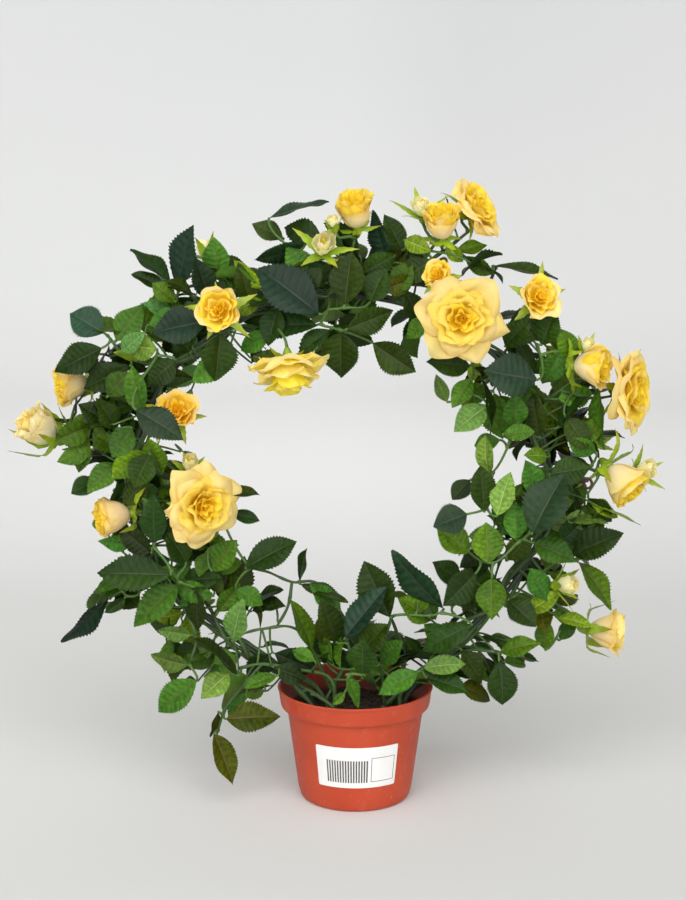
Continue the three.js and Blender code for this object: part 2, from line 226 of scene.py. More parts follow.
def noise(nt, scale, detail=2.0, rough=0.5, distort=0.0):
    tc = node(nt, "ShaderNodeTexCoord")
    n = node(nt, "ShaderNodeTexNoise")
    n.inputs["Scale"].default_value = scale
    n.inputs["Detail"].default_value = detail
    n.inputs["Roughness"].default_value = rough
    n.inputs["Distortion"].default_value = distort
    nt.links.new(tc.outputs["Object"], n.inputs["Vector"])
    return n


def ramp(nt, source, stops):
    r = node(nt, "ShaderNodeValToRGB")
    el = r.color_ramp.elements
    while len(el) > 1:
        el.remove(el[-1])
    el[0].position, el[0].color = stops[0][0], rgba(stops[0][1])
    for pos, c in stops[1:]:
        e = el.new(pos)
        e.color = rgba(c)
    nt.links.new(source, r.inputs["Fac"])
    return r


def mix(nt, a, b, fac, blend="MIX"):
    """Mixes two colours; a, b and fac may be sockets or values."""
    m = node(nt, "ShaderNodeMix", data_type="RGBA", blend_type=blend)
    for sock, val in ((m.inputs[6], a), (m.inputs[7], b), (m.inputs[0], fac)):
        if isinstance(val, bpy.types.NodeSocket):
            nt.links.new(val, sock)
        elif np.ndim(val) == 0:
            sock.default_value = float(val)
        else:
            sock.default_value = rgba(val)
    return m.outputs[2]


def bump(nt, bsdf, height, strength, distance):
    b = node(nt, "ShaderNodeBump")
    b.inputs["Strength"].default_value = strength
    b.inputs["Distance"].default_value = distance
    nt.links.new(height, b.inputs["Height"])
    nt.links.new(b.outputs["Normal"], bsdf.inputs["Normal"])


def tinted(name, base, low=0.82, high=1.14, rough=(0.42, 0.6), scale=260.0, bump_mm=0.05, weave=1800.0, spec=0.5, sheen=0.0, through=0.0, spots=None):
    """A material whose base colour is one plain colour, times the tint of each piece, with fine uneven tone and grain."""
    m, nt, bsdf = new_material(name)
    tint = node(nt, "ShaderNodeVertexColor", layer_name="tint")
    big = noise(nt, scale, 5.0, 0.62)
    tone = ramp(nt, big.outputs["Fac"], [(0.3, np.array([low] * 3)), (0.7, np.array([high] * 3))])
    c = mix(nt, base, tint.outputs["Color"], 1.0, "MULTIPLY")
    c = mix(nt, c, tone.outputs["Color"], 1.0, "MULTIPLY")
    if spots is not None:
        sp = noise(nt, 700.0, 2.0, 0.6)
        mask = ramp(nt, sp.outputs["Fac"], [(0.62, np.zeros(3)), (0.74, np.ones(3))])
        c = mix(nt, c, spots, mask.outputs["Color"])
    nt.links.new(c, bsdf.inputs["Base Color"])
    fine = noise(nt, weave, 2.0, 0.6)
    rr = ramp(nt, big.outputs["Fac"], [(0.3, np.array([rough[0]] * 3)), (0.7, np.array([rough[1]] * 3))])
    nt.links.new(rr.outputs["Color"], bsdf.inputs["Roughness"])
    bump(nt, bsdf, fine.outputs["Fac"], 0.35, bump_mm / 1000.0)
    bsdf.inputs["Specular IOR Level"].default_value = spec
    if through:
        glow = node(nt, "ShaderNodeBsdfTranslucent")
        nt.links.new(c, glow.inputs["Color"])
        both = node(nt, "ShaderNodeMixShader")
        both.inputs[0].default_value = through
        nt.links.new(bsdf.outputs["BSDF"], both.inputs[1])
        nt.links.new(glow.outputs["BSDF"], both.inputs[2])
        nt.links.new(both.outputs["Shader"], nt.nodes["Material Output"].inputs["Surface"])
    if sheen:
        bsdf.inputs["Sheen Weight"].default_value = sheen
        bsdf.inputs["Sheen Roughness"].default_value = 0.4
    return m


LEAF_COLOURS = {
    "dark": srgb(32, 52, 6),
    "blue": srgb(24, 46, 26),
    "mid": srgb(58, 93, 21),
    "light": srgb(80, 111, 46),
    "olive": srgb(60, 68, 10),
    "young": srgb(98, 124, 22),
}
RIB_COLOURS = {
    "dark": srgb(44, 50, 24),
    "blue": srgb(38, 50, 38),
    "mid": srgb(74, 78, 30),
    "light": srgb(112, 130, 70),
    "olive": srgb(84, 66, 36),
    "young": srgb(146, 160, 74),
}
LEAF_GLOSS = {"dark": 0.12, "blue": 0.18, "mid": 0.10, "light": 0.12, "olive": 0.08, "young": 0.10}
LEAF_MAT = {}
for key, base in LEAF_COLOURS.items():
    top = tinted(f"leaf_{key}_top", base, 0.58, 1.40, (0.32, 0.54), 330.0, 0.30, 1000.0, LEAF_GLOSS[key])
    under = tinted(f"leaf_{key}_under", base * np.array([1.45, 1.3, 1.25]) + 0.004, 0.85, 1.12, (0.58, 0.75), 300.0, 0.05, 2200.0, 0.16)
    rib = tinted(f"leaf_{key}_rib", RIB_COLOURS[key], 0.85, 1.15, (0.45, 0.6), 400.0, 0.04, 2200.0, 0.35)
    LEAF_MAT[key] = [top, under, rib]

STEM_GREEN = tinted("stem_moulded_green", srgb(60, 86, 42), 0.72, 1.25, (0.38, 0.6), 160.0, 0.10, 1500.0, 0.35, spots=srgb(96, 84, 50))
STALK_GREEN = tinted("stalk_pale_green", srgb(74, 104, 46), 0.8, 1.2, (0.4, 0.6), 220.0, 0.06, 1800.0, 0.35)
WIRE_GREEN = tinted("wire_coating_green", srgb(34, 50, 32), 0.75, 1.25, (0.35, 0.55), 120.0, 0.10, 1400.0, 0.5, spots=srgb(52, 64, 40))
SEPAL_GREEN = tinted("sepal_green", srgb(132, 160, 30), 0.82, 1.18, (0.35, 0.55), 260.0, 0.06, 1800.0, 0.5)
TENDRIL_BROWN = tinted("twig_brown", srgb(52, 32, 22), 0.8, 1.2, (0.5, 0.7), 300.0, 0.1, 1800.0, 0.4)

PETAL_PALE = tinted("petal_pale", srgb(255, 237, 168), 0.95, 1.0, (0.62, 0.78), 300.0, 0.26, 1150.0, 0.15, 0.0, 0.38)
PETAL_GOLD = tinted("petal_gold", srgb(255, 236, 92), 0.94, 1.0, (0.62, 0.78), 300.0, 0.26, 1150.0, 0.12, 0.0, 0.42)
PETAL_DEEP = tinted("petal_deep", srgb(255, 234, 56), 0.94, 1.0, (0.62, 0.78), 300.0, 0.26, 1150.0, 0.10, 0.0, 0.42)
PETAL_CREAM = tinted("petal_cream", srgb(252, 242, 206), 0.95, 1.0, (0.6, 0.78), 300.0, 0.26, 1150.0, 0.15, 0.0, 0.36)

# ------------------------------------------------------------------- carriers
HOOP_C = np.array([-0.011, 0.0, 0.245])
HOOP_A, HOOP_B = 0.158, 0.142
LEFT_LEG = [(-118, 143), (-84, 117.5), (-52, 93), (-31, 70), (-27, 42)]
RIGHT_LEG = [(98, 143), (68, 110), (45, 84), (34, 62), (31, 42)]


def hoop_reach(deg):
    c, s = math.cos(math.radians(deg)), math.sin(math.radians(deg))
    return HOOP_A * HOOP_B / math.hypot(HOOP_B * c, HOOP_A * s)


def on_hoop(deg, out=0.0, y=0.0):
    r = hoop_reach(deg) + out
    return HOOP_C + np.array([r * math.cos(math.radians(deg)), y, r * math.sin(math.radians(deg))])


def smooth_line(points, step=0.003):
    """A Catmull-Rom line through points, at an even step."""
    p = np.asarray(points, float)
    p = np.vstack([2 * p[0] - p[1], p, 2 * p[-1] - p[-2]])
    out = []
    for i in range(1, len(p) - 2):
        n = max(2, int(np.linalg.norm(p[i + 1] - p[i]) / step))
        t = np.linspace(0, 1, n, endpoint=False)[:, None]
        a = 2 * p[i]
        b = p[i + 1] - p[i - 1]
        c = 2 * p[i - 1] - 5 * p[i] + 4 * p[i + 1] - p[i + 2]
        d = -p[i - 1] + 3 * p[i] - 3 * p[i + 1] + p[i + 2]
        out.append(0.5 * (a + b * t + c * t**2 + d * t**3))
    out.append(p[-2][None])
    return np.vstack(out)


hoop_points = [np.array([x, 0, z]) / 1000 for x, z in reversed(RIGHT_LEG)]
hoop_points += [on_hoop(d) for d in range(-35, 216, 10)]
hoop_points += [np.array([x, 0, z]) / 1000 for x, z in LEFT_LEG]
HOOP = smooth_line(hoop_points, 0.003)
HOOP_S = np.concatenate([[0], np.cumsum(np.linalg.norm(np.diff(HOOP, axis=0), axis=1))])
HOOP_LEN = HOOP_S[-1]


def hoop_at(t):
    """Point, tangent and outward normal of the wire at a share t of its length."""
    s = np.clip(t, 0, 1) * HOOP_LEN
    p = np.array([np.interp(s, HOOP_S, HOOP[:, k]) for k in range(3)])
    q = np.array([np.interp(min(s + 0.004, HOOP_LEN), HOOP_S, HOOP[:, k]) for k in range(3)])
    r = np.array([np.interp(max(s - 0.004, 0), HOOP_S, HOOP[:, k]) for k in range(3)])
    tan = unit(q - r)
    return p, tan, np.array([tan[2], 0.0, -tan[0]])


wood = Bag()  # stems, twigs and stalks
wire = Bag()
CARRIERS = [HOOP.copy()]


def rough_radii(n, r, knots, rng, swell=0.45):
    """Radii along a moulded stem: a little uneven, with swollen knuckles."""
    x = np.linspace(0, 1, n)
    out = r * (1 + 0.06 * np.sin(x * n * 0.37 + rng.uniform(0, 6)) + 0.05 * rng.standard_normal(n))
    for k in knots:
        out *= 1 + swell * np.exp(-(((x - k) * n / 1.6) ** 2))
    return out


def wound_stem(t0, t1, off, pitch, phase, r0, r1, rng, tail=None, head=None, mat=0):
    """A plastic stem wound round the wire, loose enough to stand off it here and there."""
    n = int(abs(t1 - t0) * HOOP_LEN / 0.0032)
    w1, w2 = rng.uniform(0, 6.28, 2)
    pts = []
    for i in range(n + 1):
        t = t0 + (t1 - t0) * i / n
        p, tan, nrm = hoop_at(t)
        s = t * HOOP_LEN
        turn = phase + 2 * math.pi * s / pitch + 0.5 * math.sin(s * 31 + w1)
        o = off * (1 + 0.35 * math.sin(s * 43 + w2))
        pts.append(p + o * (math.cos(turn) * nrm + math.sin(turn) * np.array([0, 1.0, 0])))
    pts = np.array(pts)
    if tail is not None:
        pts = np.vstack([bezier(tail, tail + np.array([0, 0, 0.02]), pts[0] - (pts[3] - pts[0]) * 3, pts[0], 12)[:-1], pts])
    if head is not None:
        pts = np.vstack([pts, bezier(pts[-1], pts[-1] + (pts[-1] - pts[-4]) * 3, head - np.array([0, 0, 0.01]), head, 12)[1:]])
    m = len(pts)
    length = m * 0.0032
    knots = np.cumsum(rng.uniform(0.016, 0.03, int(length / 0.018))) / length
    radii = np.linspace(r0, r1, m) * rough_radii(m, 1.0, knots[knots < 0.98], rng)
    tone = 1 + 0.12 * rng.standard_normal()
    tube(wood, pts, radii, 7, mat, np.array([tone, tone, tone]) * rng.uniform(0.9, 1.1, 3))
    # short cut spurs, where side shoots were moulded
    for k in knots[knots < 0.97][::2]:
        i = int(k * (m - 1))
        d = unit(rng.standard_normal(3) + 0.8 * unit(pts[min(i + 1, m - 1)] - pts[i - 1]))
        tube(wood, np.array([pts[i], pts[i] + d * rng.uniform(0.003, 0.006)]), [radii[i] * 0.8, radii[i] * 0.55], 5, mat, [tone] * 3)
    CARRIERS.append(pts)
    return pts


def twig(points, depths, r0=0.0013, r1=0.0009, snap=True, mat=0):
    """A side stem through points of the view at the depths given, rooted on the nearest stem."""
    pts = [W(x, y, d / 1000) for (x, y), d in zip(points, depths)]
    if snap:
        near = nearest_carrier(pts[0])[0]
        pts[0] = near
    line = smooth_line(pts, 0.0028)
    n = len(line)
    knots = np.cumsum(RNG.uniform(0.012, 0.022, 12)) / max(n * 0.0028, 0.01)
    radii = np.linspace(r0, r1, n) * rough_radii(n, 1.0, knots[knots < 0.95], RNG, 0.4)
    tone = 1 + 0.1 * RNG.standard_normal()
    tube(wood, line, radii, 6, mat, [tone * 1.0, tone, tone * 0.95])
    CARRIERS.append(line)
    return line


def nearest_carrier(p, skip=0):
    best, at, tan = 1e9, None, None
    for c in CARRIERS[skip:]:
        d = np.linalg.norm(c - p, axis=1)
        i = int(np.argmin(d))
        if d[i] < best:
            best, at = d[i], c[i]
            tan = unit(c[min(i + 2, len(c) - 1)] - c[max(i - 2, 0)])
    return at, tan, best


def stalk(p_end, end_dir, r0=0.0010, r1=0.0007, mat=1, tone=1.0, lead=0.35, carriers_from=0, join=False):
    """A thin stalk from the nearest stem out to p_end, arriving along end_dir."""
    at, tan, dist = nearest_carrier(p_end, carriers_from)
    if dist < 0.0015:
        return at
    n = max(5, int(dist / 0.004))
    away = unit(p_end - at)
    if np.dot(tan, away) < 0:
        tan = -tan
    start = unit(0.45 * tan + 0.7 * away)
    e = unit(end_dir)
    c = float(np.dot(e, away))
    if c < 0.5:
        e = unit(e + (0.5 - c) * 1.3 * away)
        lead = lead * 0.8
    sag = np.array([0, 0, -0.04 * dist])
    pts = bezier(at, at + start * dist * lead, p_end - e * dist * lead + sag, p_end, n)
    radii = np.linspace(r0, r1, n)
    radii[0] *= 1.5
    radii[-1] *= 1.25
    tube(wood, pts, radii, 5, mat, [tone, tone, tone * 0.95])
    if join:
        CARRIERS.append(pts[1:-1])
    return at


# ----------------------------------------------------------------------- leaf
HALF = np.array([0.0, 0.036, 0.30, 0.56, 0.80, 1.0])
HALF_UNDER = np.array([0.0, 0.42, 0.80, 1.0])
CREST = np.array([0.0, 0.65, 1.0, 0.5])
OUTLINE_T = np.array([0, 0.03, 0.07, 0.13, 0.20, 0.28, 0.36, 0.46, 0.56, 0.66, 0.76, 0.85, 0.92, 0.97, 1.0])
OUTLINE_W = np.array([0.02, 0.23, 0.43, 0.66, 0.85, 0.965, 1.0, 0.955, 0.85, 0.70, 0.515, 0.33, 0.175, 0.07, 0.012])


def leaf_sheet(T, S, L, width, prof, fold, arch, wave, phase, crest_amp, row, teeth, jag):
    """Points of a leaf's surface: along the rib, across, and up."""
    a = np.abs(S)
    along = T + 0.10 * a**1.2 * prof
    edge = np.where(a > 0.99, 1.0, 0.0)
    tooth = np.where(row % 2 == 1, 1.0, -0.55) * teeth * edge * jag[row, (S > 0).astype(int)]
    across = S * width * prof * (1 + tooth)
    along = along + 0.010 * np.where(row % 2 == 1, 1.0, -0.4) * edge * (prof > 0.15)
    h = crest_amp * CREST[row % 4] * np.sin(np.clip(a * 1.05, 0, 1) * math.pi) ** 0.8 * np.minimum(prof * 1.6, 1.0)
    h = h + np.abs(across) * math.tan(fold) * (1 - 0.35 * a)
    h = h + wave * L * a**2 * np.sin(2 * math.pi * (1.6 * T + phase) + np.sign(S) * 1.1)
    return along, across, h


def add_leaf(bag, base, tip, up, ratio=0.6, fold=0.25, arch=0.5, wave=0.02, rows=26, tone=(1, 1, 1), rng=RNG, hue=0.0):
    """One serrated leaflet from base to tip, its upper side towards up."""
    base, tip = np.asarray(base, float), np.asarray(tip, float)
    chord = np.linalg.norm(tip - base)
    x = unit(tip - base)
    z = unit(up - x * np.dot(up, x))
    y = np.cross(z, x)
    L = chord / max(np.sinc(arch / 2 / math.pi), 0.3)
    width = 0.5 * ratio * L
    phase = rng.uniform(0, 1)
    t = np.linspace(0, 1, rows + 1)
    bend = rng.uniform(0.86, 1.16)
    prof_t = np.interp(t**bend, OUTLINE_T, OUTLINE_W)
    amp = rng.uniform(0.009, 0.018) * L
    teeth = rng.uniform(0.062, 0.095)
    jag = rng.uniform(0.65, 1.35, (rows + 1, 2))

    def surface(half, lower):
        s = np.concatenate([-half[::-1][:-1], half])
        T, S = np.meshgrid(t, s, indexing="ij")
        row = np.broadcast_to(np.arange(rows + 1)[:, None], T.shape)
        prof = np.broadcast_to(prof_t[:, None], T.shape)
        al, ac, h = leaf_sheet(T, S, L, width, prof, fold, arch, wave, phase, amp, row, teeth, jag)
        if lower:
            h = h - 0.00030 * (1 - np.abs(S) ** 4)
        th = arch * (al - 0.5)
        if abs(arch) > 1e-3:
            X = L * (np.sin(th) - math.sin(-arch / 2)) / arch
            Z = L * (np.cos(th) - math.cos(arch / 2)) / arch
        else:
            X, Z = L * al, np.zeros_like(al)
        X = X + h * np.sin(th)
        Z = Z + h * np.cos(th)
        P = base + X[..., None] * x + ac[..., None] * y + Z[..., None] * z
        return P.reshape(-1, 3), len(s), np.abs(S).ravel(), T.ravel(), row.ravel()

    P, cols, a, tt, row = surface(HALF, False)
    tone = np.asarray(tone, float)
    # painted shade: the crests of the ridges are painted lighter and the troughs between them darker; the outermost
    # edge is also made darker
    painted_shade = 1 + 0.15 * np.cos((row - 2) * math.pi / 2) * (a > 0.2) - 0.08 * (a > 0.9)
    col = tone[None, :] * painted_shade[:, None]
    sgn = (np.arange(len(P)) % cols - cols // 2) / (cols // 2)
    # painted light and shade: one half of the leaf is painted lighter than the other, and one end lighter than the
    # other, as a fold or slope lit from one side looks; warm below is a yellowing of the leaf's own colour towards one
    # side and one end
    d1, d2 = rng.uniform(-1, 1), rng.uniform(-0.6, 1)
    col = col * (1 + 0.16 * d1 * np.sign(sgn) * np.minimum(np.abs(sgn) * 2, 1) + 0.14 * d2 * (tt - 0.5))[:, None]
    warm = np.clip(0.25 + d1 * sgn * 0.55 + d2 * (tt - 0.5), 0, 1)[:, None] * max(hue, 0)
    col = col * (1 + warm * np.array([1.5, 0.75, -0.2]))
    q = grid_quads(rows + 1, cols, flip=False)
    cc = np.tile(np.arange(cols - 1), rows)
    mid = cols // 2
    mat = np.where((cc == mid) | (cc == mid - 1), 2, 0)
    bag.add(P, q[:, ::-1], None, mat, col)
    P2, cols2, a2, tt2, row2 = surface(HALF_UNDER, True)
    bag.add(P2, grid_quads(rows + 1, cols2), None, 1, np.tile(tone, (len(P2), 1)))


LEAVES = {k: Bag() for k in LEAF_COLOURS}
HUES = {"dark": 0.35, "blue": 0.12, "mid": 0.35, "light": 0.10, "olive": 0.25, "young": 0.12}
LETTER = {"D": "dark", "B": "blue", "M": "mid", "L": "light", "O": "olive", "Y": "young"}


TONE_REACH = {"dark": (-0.26, 0.30), "blue": (-0.10, 0.14), "mid": (-0.26, 0.24), "light": (-0.24, 0.14), "olive": (-0.15, 0.03), "young": (-0.18, 0.02)}


def leaf_tone(rng, key="dark"):
    v = 1.03 + 0.23 * rng.standard_normal()
    v = min(max(v, 0.60), 1.60)
    g = min(max(0.15 * rng.standard_normal(), TONE_REACH[key][0]), TONE_REACH[key][1])
    return np.array([v * (1 + g), v, v * max(0.5, 1 - g * 1.6)])


# --------------------------------------------------------------------- flowers
petals = {"pale": Bag(), "gold": Bag(), "deep": Bag(), "cream": Bag()}
sepals = Bag()


def axes_for(direction, roll=0.0):
    z = unit(direction)
    a = np.array([0.0, 0.0, 1.0]) if abs(z[2]) < 0.9 else np.array([0.0, 1.0, 0.0])
    x = unit(np.cross(a, z))
    y = np.cross(z, x)
    c, s = math.cos(roll), math.sin(roll)
    return np.stack([c * x + s * y, -s * x + c * y, z], 1)


def add_petal(bag, origin, R, phi, r0, z0, L, W_, th0, th1, power, roll_edge, roll_tip, point, crinkle, lean, rng, c_base, c_rim, c_out=None, nu=18, nv=14):
    """One petal of a rose: it rises from r0 at the angle phi, opens from th0 to th1, and its rim rolls back to a point."""
    u = np.linspace(-1, 1, nu + 1)
    v = np.linspace(0, 1, nv + 1) ** 0.85
    V, U = np.meshgrid(v, u, indexing="ij")
    a = np.abs(U)
    reach = 1 - (0.14 + point) * a ** (3.0 - 7.0 * point) + 0.10 * point * np.maximum(0, 1 - a * 3.5) ** 1.3 * V
    e1, e2, e3 = rng.uniform(0, 6.28, 3)
    reach = reach + 0.014 * np.sin(U * 5.0 + e1) + 0.008 * np.sin(U * 10.0 + e2) + 0.004 * np.sin(U * 17.0 + e3)
    VV = V * reach
    dense = np.linspace(0, 1.35, 60)
    th = th0 + (th1 - th0) * np.clip(dense, 0, 1.35) ** power
    rr = r0 + np.concatenate([[0], np.cumsum(np.sin((th[1:] + th[:-1]) / 2) * np.diff(dense) * L)])
    zz = z0 + np.concatenate([[0], np.cumsum(np.cos((th[1:] + th[:-1]) / 2) * np.diff(dense) * L)])
    r = np.interp(VV, dense, rr)
    z = np.interp(VV, dense, zz)
    theta = np.interp(VV, dense, th)
    wprof = np.interp(V, [0, 0.12, 0.3, 0.55, 0.8, 1.0], [0.25, 0.48, 0.76, 0.96, 1.0, 0.95])
    ang = U * W_ * wprof / np.maximum(r + 0.0012, 0.0022)
    ang = np.clip(ang, -1.9, 1.9)
    ang = ang + 0.10 * np.sin(V * 3 + phi * 3)
    p1, p2, p3 = rng.uniform(0, 6.28, 3)
    off = roll_edge * np.maximum(0, (a - 0.45) / 0.55) ** 2 * V**1.3
    off = off + roll_tip * np.maximum(0, (V - 0.62) / 0.38) ** 2 * (1 - 0.25 * a)
    off = off + crinkle * V**1.8 * (np.sin(U * 4.2 + p1) + 0.6 * np.sin(U * 8.1 + V * 3 + p2) + 0.5 * np.sin(V * 9 + p3))
    off = off + crinkle * V * (0.16 * np.sin(U * 16 + V * 6 + p3) + 0.14 * np.sin(V * 19 + U * 5 + p1))
    r2 = np.maximum(r + off * np.cos(theta), 0.0004)
    z2 = z - off * np.sin(theta) - 0.5 * roll_tip * np.maximum(0, (V - 0.8) / 0.2) ** 2
    A = phi + ang
    local = np.stack([r2 * np.cos(A), r2 * np.sin(A), z2], -1).reshape(-1, 3)
    if lean:
        shift = rng.standard_normal(3) * lean * np.array([1, 1, 0.8])
        local += np.clip(V.ravel() * 2.0, 0, 1)[:, None] * shift
    P = origin + local @ R.T
    f = np.clip((VV / reach.max()).ravel(), 0, 1)[:, None] ** 1.35
    col = c_base * (1 - f) + c_rim * f
    edge = np.clip((a.ravel() - 0.7) / 0.3, 0, 1)[:, None] * f
    if c_out is not None:
        col = col * (1 - 0.5 * edge) + c_out * 0.5 * edge
    rim = np.maximum(np.clip((a.ravel() - 0.84) / 0.16, 0, 1), np.clip((V.ravel() - 0.88) / 0.12, 0, 1))[:, None] * V.ravel()[:, None]
    col = col * (1 - rim * np.array([0.04, 0.10, 0.28]))
    bag.add(P, grid_quads(nv + 1, nu + 1), None, 0, col)


GOLDEN = math.radians(137.5)


def add_sepals(base, R, size, spread, rng, count=5, long=1.0, tone=1.0, cup=0.0, hug=0.5):
    """Five long pointed sepals under a bloom, with the small green cup they grow from."""
    # cup
    prof_r = np.array([0.0006, 0.0017, 0.0027, 0.0032, 0.0034, 0.0030]) * size
    prof_z = np.array([-0.0080, -0.0070, -0.0048, -0.0028, -0.0012, 0.0000]) * size
    n = 10
    a = np.arange(n) * 2 * math.pi / n
    ring = np.stack([prof_r[:, None] * np.cos(a), prof_r[:, None] * np.sin(a), np.broadcast_to(prof_z[:, None], (6, n))], -1)
    verts = ring.reshape(-1, 3)
    i, j = np.meshgrid(np.arange(5), np.arange(n), indexing="ij")
    p, q = (i * n + j).ravel(), (i * n + (j + 1) % n).ravel()
    sepals.add(base + verts @ R.T, np.stack([p, q, q + n, p + n], 1), None, 0, [tone * 0.85] * 3)
    ph = rng.uniform(0, 6.28)
    for k in range(count):
        L = size * rng.uniform(0.017, 0.024) * long
        w = size * rng.uniform(0.0029, 0.0042)
        nv, nu = 9, 4
        v = np.linspace(0, 1, nv + 1)
        u = np.linspace(-1, 1, nu + 1)
        V, U = np.meshgrid(v, u, indexing="ij")
        dense = np.linspace(0, 1, 30)
        if cup and rng.uniform() < hug:
            # out under the cup, then up along its side
            flat = min(0.75, max(0.0, cup + 0.0012 - 0.0024 * size) / L)
            th = np.interp(dense, [0, flat, min(flat + 0.18, 0.95), 1.0], [1.62, 1.50, rng.uniform(0.15, 0.5), rng.uniform(0.3, 0.9)])
        elif cup:
            th = np.interp(dense, [0, 0.3, 0.65, 1.0], [1.62, 1.62, rng.uniform(1.3, 2.2), rng.uniform(1.2, 3.0)])
        else:
            th = spread * 0.7 + spread * (rng.uniform(0.95, 1.35) - 0.7) * dense
        rr = 0.0024 * size + np.concatenate([[0], np.cumsum(np.sin(th[1:]) * L / 29)])
        zz = -0.0014 * size + np.concatenate([[0], np.cumsum(np.cos(th[1:]) * L / 29)])
        r = np.interp(V, dense, rr)
        z = np.interp(V, dense, zz)
        prof = np.interp(V, [0, 0.2, 0.45, 0.7, 0.86, 1.0], [0.75, 1.0, 0.88, 0.50, 0.27, 0.04])
        prof = prof * (1 + 0.12 * np.where((np.arange(nv + 1) % 2)[:, None] == 1, 1, -1) * (np.abs(U) > 0.9))
        side = U * w * prof
        phi = ph + k * 2 * math.pi / count + rng.uniform(-0.15, 0.15)
        th_v = np.interp(V, dense, th)
        lift = -0.25 * np.abs(side)
        rad = np.array([math.cos(phi), math.sin(phi), 0])
        tang = np.array([-math.sin(phi), math.cos(phi), 0])
        local = (r + lift * -np.cos(th_v))[..., None] * rad + side[..., None] * tang + (z + lift * np.sin(th_v))[..., None] * np.array([0, 0, 1.0])
        local = local.reshape(-1, 3)
        f = V.ravel()[:, None]
        tip = np.array([1.25, 0.72, 0.4])
        col = tone * ((1 - f**3) * np.ones(3) + f**3 * tip) * rng.uniform(0.85, 1.15)
        q1 = grid_quads(nv + 1, nu + 1)
        sepals.add(base + local @ R.T, q1, None, 0, col)
        under = local.copy()
        nrm = np.stack([-np.cos(th_v) * rad[0], -np.cos(th_v) * rad[1], np.sin(th_v)], -1).reshape(-1, 3)
        under += nrm * 0.00028 * (1 - np.abs(U).ravel()[:, None] ** 4) * -1
        sepals.add(base + under @ R.T, q1[:, ::-1], None, 0, col * 0.95)


